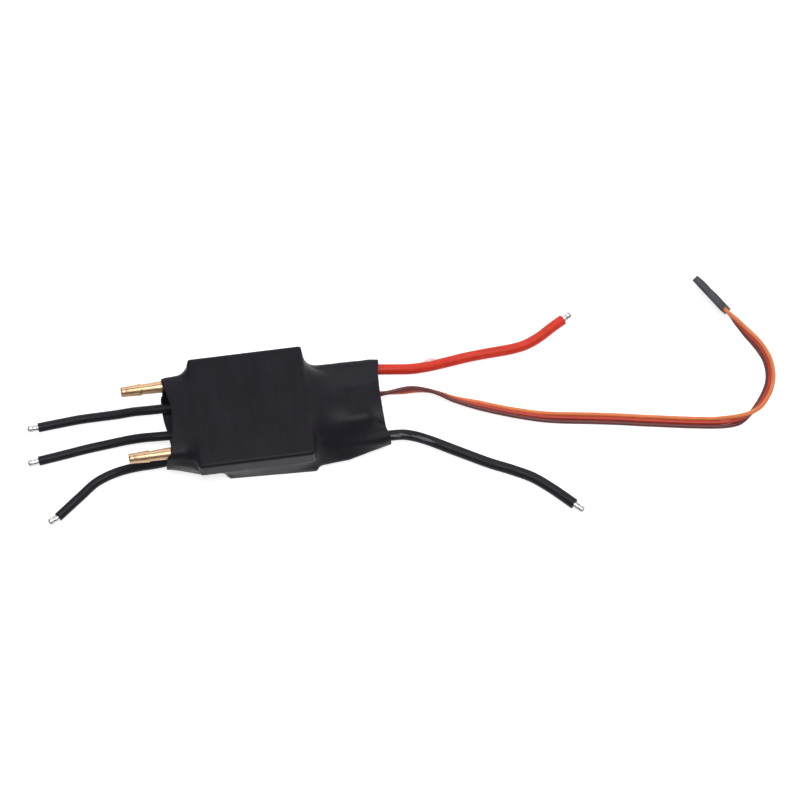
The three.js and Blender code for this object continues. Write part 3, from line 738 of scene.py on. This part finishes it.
def rod_distance(p, points, radius):
    best = np.full(p.shape[:-1], 1.0)
    for start, end in zip(points[:-1], points[1:]):
        span = end - start
        share = np.clip(((p - start) @ span) / (span @ span), 0, 1)
        best = np.minimum(best, np.linalg.norm(p - start - share[..., None] * span, axis=-1))
    return best - radius


def can_distance(p, node):
    """A capacitor's round body, along X, with rounded ends."""
    low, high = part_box(node)
    rounding = 1.6 * MM
    radius = (high.z - low.z) / 2 + SKIN
    middle_y, middle_z = (low.y + high.y) / 2, (low.z + high.z) / 2
    start, end = CAN_START_X - SKIN, high.x + SKIN
    radial = np.hypot(p[..., 1] - middle_y, p[..., 2] - middle_z) - (radius - rounding)
    axial = np.abs(p[..., 0] - (start + end) / 2) - ((end - start) / 2 - rounding)
    outside = np.hypot(np.maximum(radial, 0), np.maximum(axial, 0))
    return outside + np.minimum(np.maximum(radial, axial), 0) - rounding


CANS = ("input_capacitor_far", "input_capacitor_near")
CAN_START_X = 21.5 * MM
COOLER_SHIFT = np.array((0.3, 0.2)) * MM
BARREL_RADIUS = 1.86 * MM
ROUTE_INSIDE = 5  # the points of a route in the sleeve and next to its mouth

# Boxes that are no CAD node's own: middle, half sizes and rounding in mm, turn in degrees.
SPREADER = ((4.9, -2.05, 1.25), (14.1, 15.95, 1.25), 0.5, -3)
SOLDER_END = ((25.0, -1.0, 3.0), (9.0, 12.0, 1.9), 1.5, 0)

# Rods in mm that stand for potting and film that keeps its place: points, radius.
FILLETS = [
    ([(-26.3, -11.8, 3.5), (-18.5, -14.4, 3.5)], 1.2),
    ([(19.0, -16.0, 2.3), (28.0, -15.6, 2.6), (34.0, -14.3, 3.1), (42.4, -12.6, 3.9)], 1.6),
    ([(19.0, 12.0, 6.4), (31.7, 11.5, 6.6), (42.4, 11.2, 6.9)], 2.0),
    ([(42.2, 5.5, 7.7), (42.2, -8.0, 7.7)], 1.6),
    ([(42.2, 5.5, 4.0), (42.2, -8.0, 4.0)], 1.6),
]


def support_boxes():
    cooler = grown_box("cooling_block", (0.9 * MM, 0.9 * MM, 0.65 * MM), 0.55 * MM, turn_deg=-0.7)
    cooler[0][:2] -= COOLER_SHIFT
    power = grown_box("power_board", (0.5 * MM, 0.4 * MM, 0.5 * MM), 0.4 * MM)
    control = grown_box("control_board", (0.5 * MM, 0.5 * MM, 0.5 * MM), 0.4 * MM)
    boxes = [cooler, power, control]
    for middle, half, rounding, turn_deg in (SPREADER, SOLDER_END):
        boxes.append((np.array(middle) * MM, np.array(half) * MM, rounding * MM, turn_deg))
    return boxes


def support_rods():
    rods = [(np.array(points) * MM, radius * MM) for points, radius in FILLETS]
    for routes, radius in (
        (MOTOR_WIRE_ROUTES, MOTOR_JACKET_RADIUS), (BATTERY_WIRE_ROUTES, BATTERY_JACKET_RADIUS),
    ):
        rods += [(np.array(route[:ROUTE_INSIDE]) * MM, radius + SKIN) for route in routes.values()]
    for y in NOZZLE_Y.values():
        barrel = np.array([(-17.0 * MM, y, NOZZLE_Z), (-32.0 * MM, y, NOZZLE_Z)])
        rods.append((barrel, BARREL_RADIUS + SKIN))
    return rods


def sleeve_supports():
    """A function for the distance from everything that holds the skin out."""
    boxes, rods = support_boxes(), support_rods()

    def distance(p):
        found = [box_distance(p, *box) for box in boxes]
        found += [rod_distance(p, points, radius) for points, radius in rods]
        found += [can_distance(p, node) for node in CANS]
        return np.minimum.reduce(found)

    return distance


# ---------------- heat-shrink sleeve
TOP_COLUMNS = 54
SIDE_COLUMNS = 96
HOOP_TENSION = 0.7  # against the pull along the sleeve
RELAX_SWEEPS = 420
OVER_RELAXATION = 1.6
TENSION_EVERY = 30  # sweeps between two measurings of the skin
START_GAP = 1.5 * MM
RAY_REACH = 26 * MM
WALK_STEPS = 60
STATION_STEP = 0.56  # mm between stations where nothing needs them closer
BLOCK_END_X = 17.7  # mm

# Rays leave a flat stadium in each section: place along X, its middle in Y and Z, half its flat.
RAY_FRAME = np.array([
    (-30.0, 0.4, 8.6, 8.0), (-21.0, 0.1, 8.2, 9.4), (-17.7, 0.0, 7.8, 10.4),
    (17.7, 0.0, 7.8, 10.4), (21.0, -0.5, 7.2, 9.6), (26.0, -1.0, 6.4, 9.0), (44.0, -0.9, 6.3, 9.0),
]) * MM

# How far each lip is cut back or left long, round the mouth from the near top edge: share, shift.
LEFT_LIP = [
    (0.00, 1.0), (0.063, 2.0), (0.12, 2.3), (0.165, 1.5), (0.205, 0.6), (0.24, 0.3), (0.30, 0.2),
    (0.38, -0.1), (0.46, -0.7), (0.52, -0.9), (0.56, -0.6), (0.60, 0.1), (0.65, 0.5), (0.70, 0.2),
    (0.76, -1.1), (0.82, -1.6), (0.88, -1.0), (0.95, 0.4),
]
RIGHT_LIP = [
    (0.00, -0.4), (0.06, -0.7), (0.12, -0.6), (0.17, -0.3), (0.21, 0.0), (0.28, 0.4), (0.36, 0.3),
    (0.50, -0.1), (0.62, 0.0), (0.72, 0.3), (0.80, 0.8), (0.88, 0.6), (0.94, 0.1),
]
LIP_REACH = 7.0 * MM  # how far in from a mouth its shift fades out
LIP_ROLL = 0.16 * MM  # how far the edge's middle stands out


def station_places():
    """Places along X, close together at the block's ends, at the base step and at the mouths."""
    fine = [
        (-BLOCK_END_X, 1.3, 0.15), (BLOCK_END_X, 1.3, 0.15), (-9.6, 1.4, 0.28),
        (LEFT_MOUTH_X / MM, 1.2, 0.28), (RIGHT_MOUTH_X / MM, 1.2, 0.28),
    ]
    places, x = [], LEFT_MOUTH_X
    while x < RIGHT_MOUTH_X - 0.05 * MM:
        places.append(x)
        step = STATION_STEP * MM
        for middle, reach, spacing in fine:
            near = np.clip((abs(x - middle * MM) / MM - reach) / 1.5, 0, 1)
            step = min(step, (spacing + (STATION_STEP - spacing) * near) * MM)
        x += step
    return np.array([*places, RIGHT_MOUTH_X])


def ray_columns():
    """For each column its share of the flat, from -1 to 1, and its direction in Y and Z."""
    flat = np.linspace(-1, 1, TOP_COLUMNS, endpoint=False)
    turn = np.arange(SIDE_COLUMNS) / SIDE_COLUMNS
    crowd = 8 * np.sin(4 * np.pi * turn)  # closer together at the four corners
    fan = np.radians(90 - 180 * turn - crowd)
    share = np.concatenate([flat, np.ones(SIDE_COLUMNS), -flat, -np.ones(SIDE_COLUMNS)])
    top, bottom = np.tile((0, 1), (TOP_COLUMNS, 1)), np.tile((0, -1), (TOP_COLUMNS, 1))
    far = np.stack([np.cos(fan), np.sin(fan)], axis=1)
    return share, np.concatenate([top, far, bottom, -far])


def lip_shift(keys, columns):
    """A closed smooth curve through the keys, one value for each column."""
    at, values = np.array(keys).T
    at = np.concatenate([at - 1, at, at + 1])
    values = np.tile(values, 3)[:, None]
    return cubic(at, values, np.arange(columns) / columns)[:, 0] * MM


def fade(distance, reach):
    """1 at no distance, falling smoothly to 0 at the reach."""
    t = np.clip(1 - distance / reach, 0, 1)
    return t * t * (3 - 2 * t)


def sleeve_rays():
    """The start of each ray on the grid of stations and columns, and its direction."""
    x = station_places()
    share, direction = ray_columns()
    columns = len(share)
    left = lip_shift(LEFT_LIP, columns)[None, :] * fade(x - LEFT_MOUTH_X, LIP_REACH)[:, None]
    right = lip_shift(RIGHT_LIP, columns)[None, :] * fade(RIGHT_MOUTH_X - x, LIP_REACH)[:, None]
    x_grid = x[:, None] + left + right
    middle_y, middle_z, half = (np.interp(x_grid, RAY_FRAME[:, 0], RAY_FRAME[:, k]) for k in (1, 2, 3))
    start = np.stack([x_grid, middle_y + share * half, middle_z], axis=-1)
    ray = np.broadcast_to(np.concatenate([np.zeros((columns, 1)), direction], axis=1), start.shape)
    return start, ray


def outermost(distance, start, ray):
    """How far out along each ray the supports reach, walking in from outside."""
    r = np.full(start.shape[:-1], RAY_REACH)
    for _ in range(WALK_STEPS):
        gap = distance(start + r[..., None] * ray)
        r = np.maximum(r - np.clip(gap, 0, None) * 0.95, 0)
    return r


def pulls(points):
    """Weights of the four neighbours of each grid point, for a skin under even tension."""
    along = np.linalg.norm(np.diff(points, axis=0), axis=-1)
    around = np.linalg.norm(np.roll(points, -1, axis=1) - points, axis=-1)
    strip = np.zeros(points.shape[:2])
    strip[:-1] += along / 2
    strip[1:] += along / 2
    width = (around + np.roll(around, 1, axis=1)) / 2
    ahead, behind = np.zeros(points.shape[:2]), np.zeros(points.shape[:2])
    ahead[:-1] = (width[:-1] + width[1:]) / 2 / along
    behind[1:] = ahead[:-1]
    left = HOOP_TENSION * strip / around
    right = HOOP_TENSION * strip / np.roll(around, 1, axis=1)
    return ahead, behind, left, right


def shrunk(start, ray, held):
    """The skin pulled tight over its supports: each point stays on its ray, outside them."""
    r = held + START_GAP
    rows, columns = np.indices(r.shape)
    checker = (rows + columns) % 2 == 0
    for sweep in range(RELAX_SWEEPS):
        points = start + r[..., None] * ray
        if sweep % TENSION_EVERY == 0:
            ahead, behind, left, right = pulls(points)
            total = ahead + behind + left + right
        for half in (checker, ~checker):
            points = start + r[..., None] * ray
            after, before = np.roll(points, -1, axis=0), np.roll(points, 1, axis=0)
            pull = (
                ahead[..., None] * (after - start) + behind[..., None] * (before - start)
                + left[..., None] * (np.roll(points, -1, axis=1) - start)
                + right[..., None] * (np.roll(points, 1, axis=1) - start)
            )
            wanted = (pull * ray).sum(axis=-1) / total
            moved = np.maximum(r + OVER_RELAXATION * (wanted - r), held)
            r = np.where(half, moved, r)
    return r


def grid_normals(points):
    """Directions out of a grid that is closed round its columns."""
    along = np.gradient(points, axis=0)
    around = np.roll(points, -1, axis=1) - np.roll(points, 1, axis=1)
    return unit(np.cross(around, along))


# Creases of the film in mm: from, to, half width, height (below zero is a valley).
CREASES = [
    ((-18.6, -16.6, 13.2), (-25.8, -13.9, 11.8), 0.9, 0.32),
    ((-18.4, -17.3, 11.4), (-25.0, -14.3, 9.6), 0.7, -0.30),
    ((-18.3, -15.4, 14.9), (-21.9, -13.0, 14.4), 0.8, 0.20),
    ((18.6, 16.9, 13.0), (23.2, 13.3, 8.6), 0.8, 0.16),
    ((19.2, -15.5, 13.2), (24.0, -11.0, 10.8), 0.9, 0.22),
    ((19.0, -17.8, 9.5), (26.0, -16.2, 6.0), 0.8, -0.20),
    ((37.4, 4.6, 11.3), (41.4, 7.6, 9.2), 0.7, 0.18),
    ((37.4, -8.2, 11.0), (41.2, -10.6, 9.4), 0.7, 0.16),
    ((24.5, 7.4, 10.2), (38.0, 8.4, 9.0), 0.6, -0.10),
]


# Corners of the lips in mm that stay out where the flat tube was folded: place, reach, height.
EARS = [
    ((42.0, 13.6, 7.2), 1.5, 0.55), ((42.2, -15.4, 6.4), 1.4, 0.45),
    ((-27.2, 14.0, 12.6), 1.1, 0.40), ((-28.8, -13.1, 4.8), 1.2, 0.40),
]


def crease(points, start, end, width, height):
    """A soft ridge along a line, as a height for each point."""
    start, end = np.array(start) * MM, np.array(end) * MM
    span = end - start
    share = ((points - start) @ span) / (span @ span)
    away = np.linalg.norm(points - start - np.clip(share, 0, 1)[..., None] * span, axis=-1)
    taper = 0.35 + 0.65 * np.sin(np.pi * np.clip(share, 0, 1))
    return height * MM * taper * np.exp(-((away / (width * MM)) ** 2))


def ear(points, place, reach, height):
    away = np.linalg.norm(points - np.array(place) * MM, axis=-1)
    return height * MM * np.exp(-((away / (reach * MM)) ** 2))


def ripple(points):
    """The slow unevenness of shrunk film, in metres."""
    x, y, z = (points[..., k] / MM for k in range(3))
    slow = np.sin(0.55 * x + 0.9 * np.sin(0.21 * y + 0.3)) * np.sin(0.33 * y + 0.4 * z + 0.7)
    quick = np.sin(1.45 * x + 0.4 * y) * np.sin(0.9 * z + 0.5 * y + 1.1)
    free = 1 - fade(np.maximum(np.abs(x) - BLOCK_END_X, 0), 2.5)
    return MM * (0.05 * slow + 0.02 * quick) * (0.12 + 0.88 * free)


def sleeve_surface():
    start, ray = sleeve_rays()
    held = outermost(sleeve_supports(), start, ray)
    points = start + shrunk(start, ray, held)[..., None] * ray
    out = grid_normals(points)
    lift = ripple(points)
    for line in CREASES:
        lift = lift + crease(points, *line)
    points = points + out * lift[..., None]
    for corner in EARS:
        points = points + out * ear(points, *corner)[..., None]
    points[..., 2] = np.maximum(points[..., 2], 0)  # it lies on the bench
    return points


def add_sleeve(looks):
    """One closed skin: the outside, rolled lips, and the inside with fewer stations."""
    outer = sleeve_surface()
    out = grid_normals(outer)
    inner = outer - out * SKIN
    inner[..., 2] = np.maximum(inner[..., 2], outer[..., 2].min() + 0.03 * MM)
    along = unit(np.stack([outer[0] - outer[3], outer[-1] - outer[-4]]))
    lips = (outer[[0, -1]] + inner[[0, -1]]) / 2 + along * LIP_ROLL
    stations = len(outer)
    kept = [i for i in range(stations) if i < 6 or i >= stations - 6 or i % 2 == 0]
    rings = [*outer, lips[1], *inner[kept][::-1], lips[0]]
    columns = outer.shape[1]
    vertices = np.concatenate(rings)
    faces = []
    for i in range(len(rings)):
        low = range(i * columns, (i + 1) * columns)
        following = (i + 1) % len(rings)
        high = range(following * columns, (following + 1) * columns)
        faces.extend(faces_between(low, high, columns))
    sleeve = new_mesh("shrink_sleeve", vertices, faces, 60)
    finish_piece(sleeve, looks["shrink"], "sleeve_shrink", "heat_shrink_sleeve")


# ---------------- water nozzles
HEX_CORNER_SHARE = math.cos(math.pi / 6)
BORE_RADIUS = 0.9  # mm
COLLAR_START_X = -19.4  # mm
COLLAR_GAP = 0.3  # mm from the collar to the cooling block
SHANK_LENGTH = 5  # mm that are screwed into the block


def hexagon(angle):
    """Radius of a hexagon at an angle, for a corner radius of one."""
    within = np.mod(angle, math.pi / 3) - math.pi / 6
    return HEX_CORNER_SHARE / np.cos(within)


def nozzle_profile(shank_end, face):
    """Outside from the tip to the shank's end, then back through the bore. Distances are X places."""
    tip, bore = NOZZLE_TIP_X / MM, BORE_RADIUS
    outside = [
        (tip, bore + 0.2), (tip - 0.02, 1.21), (tip, 1.45), (tip + 0.10, 1.53), (tip + 0.45, 1.62),
        (tip + 1.2, 1.64), (tip + 1.45, 1.62), (tip + 1.55, 1.58), (tip + 1.7, 1.62), (tip + 3.4, 1.73),
        (-35.0, 1.84), (-34.55, 1.90), (-34.15, 1.91), (-34.0, 1.86), (-33.9, 1.71), (-33.7, 1.64),
        (-33.2, 1.65), (-31.0, 1.73), (-28.6, 1.83), (-27.5, 1.86), (-26.9, 1.86), (-26.6, 1.68),
        (-26.3, 1.42), (-24.0, 1.4), (-19.8, 1.4), (-19.45, 1.5), (COLLAR_START_X, 2.20),
        (-19.2, 2.42), (face - 0.2, 2.42), (face, 2.20), (face, 1.4), (face + 2.5, 1.4),
        (shank_end - 0.2, 1.4), (shank_end, 1.25),
    ]
    inside = [(shank_end, bore), (-25.0, bore), (-34.0, bore), (tip + 0.2, bore)]
    return [(s * MM, r * MM) for s, r in outside + inside]


def add_nozzles(looks):
    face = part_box("cooling_block")[0].x / MM - COLLAR_GAP
    shank_end = face + SHANK_LENGTH

    def shape(s, angle):
        collar = (s > (COLLAR_START_X - 0.03) * MM) & (s < (face + 0.01) * MM)
        return np.where(collar, hexagon(angle), 1.0)

    for name, y in NOZZLE_Y.items():
        profile = [(s - NOZZLE_TIP_X, r) for s, r in nozzle_profile(shank_end, face)]
        line = np.array([(x * MM, y, NOZZLE_Z) for x in np.linspace(NOZZLE_TIP_X / MM, shank_end, 30)])
        nozzle = swept(
            f"turned_{name.removeprefix('water_')}", line, profile, 48, looped=True,
            shape=lambda s, angle: shape(s + NOZZLE_TIP_X, angle),
        )
        finish_piece(nozzle, looks["brass"], "brass", name)


# ---------------- servo connector
# Millimetres from the middle of its rear face, X towards the sockets, before it is put in place.
CONNECTOR_LENGTH = 14
CONNECTOR_STEP_X = 7.2
REAR_HALF = 3.85
FRONT_HALF = 3.75
CONTACT_PLACES = [side * CONTACT_PITCH / MM for side in (-1, 0, 1)]


def connector_place():
    turn = Matrix.Rotation(math.radians(CONNECTOR_HEADING_DEG), 4, "Z")
    roll = Matrix.Rotation(math.radians(CONNECTOR_ROLL_DEG), 4, "X")
    return Matrix.Translation(CONNECTOR_REAR) @ turn @ roll


def combine_meshes(piece, operation, tools):
    """Joins the piece with other meshes or cuts it by them, and uses them up."""
    for tool in tools:
        change = piece.modifiers.new("change", "BOOLEAN")
        change.operation = operation
        change.solver = "EXACT"
        change.object = tool
    apply_modifiers(piece)
    for tool in tools:
        bpy.data.objects.remove(tool)


def block(name, low, high):
    """A box between two corners in millimetres."""
    return box_mesh(name, [c * MM for c in low], [c * MM for c in high])


def connector_cavities():
    """Wire and pin sockets right through, and latch windows."""
    tools = []
    for y in CONTACT_PLACES:
        tools.append(block("socket", (-1, y - 0.95, -0.95), (15, y + 0.95, 0.75)))
        tools.append(block("window", (3.1, y - 0.65, 0.2), (5.3, y + 0.65, 2)))
    return tools


def connector_latches():
    """Tongues that lie in the windows, thicker towards their free ends."""
    tongues = []
    for y in CONTACT_PLACES:
        tongue = block("tongue", (3.0, y - 0.42, 0.82), (4.95, y + 0.42, 1.12))
        for vertex in tongue.data.vertices:
            if vertex.co.x > 4 * MM and vertex.co.z > 1 * MM:
                vertex.co.z += 0.12 * MM
        tongues.append(tongue)
    return tongues


def connector_additions():
    """The thinner front half, ribs over the contacts and grips on the narrow sides."""
    front = block("front", (CONNECTOR_STEP_X - 0.5, -FRONT_HALF, -1.3), (CONNECTOR_LENGTH, FRONT_HALF, 1.0))
    ribs = [block("rib", (8.2, y - 0.35, 0.8), (12.6, y + 0.35, 1.16)) for y in CONTACT_PLACES]
    grips = [
        block("grip", (x, side * 3.6 - 0.28, -1), (x + 0.55, side * 3.6 + 0.28, 0.8))
        for x in (8.6, 9.8) for side in (-1, 1)
    ]
    return [front, *ribs, *grips]


def connector_grooves():
    """Lines along the narrow sides, and a notch round them where the two halves meet."""
    tools = []
    for start, end, y, places in ((0.5, 6.9, REAR_HALF, (-1.1, 0.8)), (7.5, 13.5, FRONT_HALF, (-1.1, 0.5))):
        for z in places:
            for side in (-1, 1):
                low, high = side * y - 0.25, side * y + 0.25
                tools.append(block("groove", (start, low, z), (end, high, z + 0.3)))
    for side in (-1, 1):
        low, high = side * REAR_HALF - 0.22, side * REAR_HALF + 0.22
        tools.append(block("notch", (6.95, low, -1.5), (7.3, high, 1.5)))
    return tools


def add_connector(looks):
    rear = block("servo_connector", (0, -REAR_HALF, -1.3), (CONNECTOR_STEP_X, REAR_HALF, 1.3))
    combine_meshes(rear, "UNION", connector_additions())
    combine_meshes(rear, "DIFFERENCE", connector_grooves())
    combine_meshes(rear, "DIFFERENCE", connector_cavities())
    combine_meshes(rear, "UNION", connector_latches())
    bevel_edges(rear, 0.09 * MM, 40)
    apply_modifiers(rear)
    rear.data.shade_smooth()
    rear.data.set_sharp_from_angle(angle=math.radians(35))
    rear.data.transform(connector_place())
    finish_piece(rear, looks["connector"], "connector_plastic", "servo_connector_housing")
    return rear


# ---------------- dried glue on two wires
def surface_place(line, s, angle_deg):
    """A frame on a battery wire's skin: X ahead, Z outwards."""
    angle = math.radians(angle_deg)
    s = np.array([s])
    reach = 0.99 * BATTERY_JACKET_RADIUS
    aside, above = np.array([reach * math.cos(angle)]), np.array([reach * math.sin(angle)])
    centre = bend_grid(line, s, aside, above)[0]
    middle = bend_grid(line, s, np.zeros(1), np.zeros(1))[0]
    outward = Vector(centre - middle).normalized()
    ahead = Vector(axes_along(line)[0][np.argmin(np.abs(distances(line) - s[0]))])
    turn = Matrix((ahead, outward.cross(ahead), outward)).transposed().to_4x4()
    return Matrix.Translation(centre) @ turn


def add_glue(name, line, start_x, end_x, count, heading_deg, spread_deg, size, drawn, flatness, look, seed):
    """Small drops, drawn out along a wire, that cling to it between two places along X."""
    chance = np.random.default_rng(seed)
    along = distances(line)
    first, last = (along[np.argmin(np.abs(line[:, 0] - x))] for x in (start_x, end_x))
    drops = bmesh.new()
    for _ in range(count):
        s = chance.uniform(first, last)
        place = surface_place(line, s, heading_deg + chance.uniform(-spread_deg, spread_deg))
        grow = size * chance.uniform(0.5, 1.3)
        scale = Matrix.Diagonal((drawn * grow, grow * chance.uniform(0.5, 0.9), flatness * grow, 1))
        spin = Matrix.Rotation(chance.uniform(-0.1, 0.1), 4, "Z")
        phase = chance.uniform(0, 6, 3)
        for vertex in bmesh.ops.create_icosphere(drops, subdivisions=2, radius=1.0)["verts"]:
            p = vertex.co
            vertex.co = p * (1 + 0.22 * math.sin(3 * p.x + phase[0]) * math.sin(4 * p.y + phase[1]))
            vertex.co = place @ spin @ scale @ vertex.co
    mesh = bpy.data.meshes.new(name)
    drops.to_mesh(mesh)
    drops.free()
    mesh.shade_smooth()
    glue = bpy.data.objects.new(name, mesh)
    bpy.context.scene.collection.objects.link(glue)
    glue.data.materials.append(look.material)
    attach(glue, "root")


# ---------------- carried-over CAD nodes
NODE_LOOKS = {
    "cooling_block": ("aluminium", "aluminium", 0.25),
    "channel_plug": ("steel", "plug_steel", 0.1),
    "base_heat_spreader": ("aluminium", "aluminium", 0.15),
    "base_pad": ("pad", "thermal_pad", 0.08),
    "thermal_pad": ("pad", "thermal_pad", 0.08),
    "control_board": ("board", "circuit_board", 0.06),
    "power_board": ("board", "circuit_board", 0.06),
    "mosfet": ("chip", "chip_moulding", 0.06),
    "microcontroller": ("chip", "chip_moulding", 0.05),
    "gate_driver": ("chip", "chip_moulding", 0.06),
    "bec_regulator": ("chip", "chip_moulding", 0.06),
    "bec_inductor": ("ferrite", "ferrite", 0.1),
    "board_header": ("gold", "contact_gold", 0.04),
    "input_capacitor": ("can", "capacitor_can", 0.15),
    "servo_contact": ("gold", "contact_gold", 0.04),
}


def dress_frame(looks):
    """Gives every CAD node that still shows its material and a fine broken edge."""
    for name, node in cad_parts.items():
        for start, (look, slot, edge) in NODE_LOOKS.items():
            if name.startswith(start):
                node.data.materials.clear()
                node.data.materials.append(looks[look].material)
                bevel_edges(node, edge * MM, 35)


# ---------------- the whole model
add_camera()
looks = make_looks()
lines = add_power_wires(looks)
connector = add_connector(looks)
add_servo_lead(looks)
add_nozzles(looks)
add_sleeve(looks)
add_glue(
    "dried_glue_negative", lines["battery_wire_negative"], 43 * MM, 55.5 * MM,
    9, 62, 8, 0.50 * MM, 4.0, 0.22, looks["glue"], 3,
)
add_glue(
    "dried_glue_positive", lines["battery_wire_positive"], 58.6 * MM, 61.2 * MM,
    4, 154, 8, 1.15 * MM, 1.7, 0.75, looks["tinted_glue"], 8,
)
dress_frame(looks)
add_floor()
add_light()
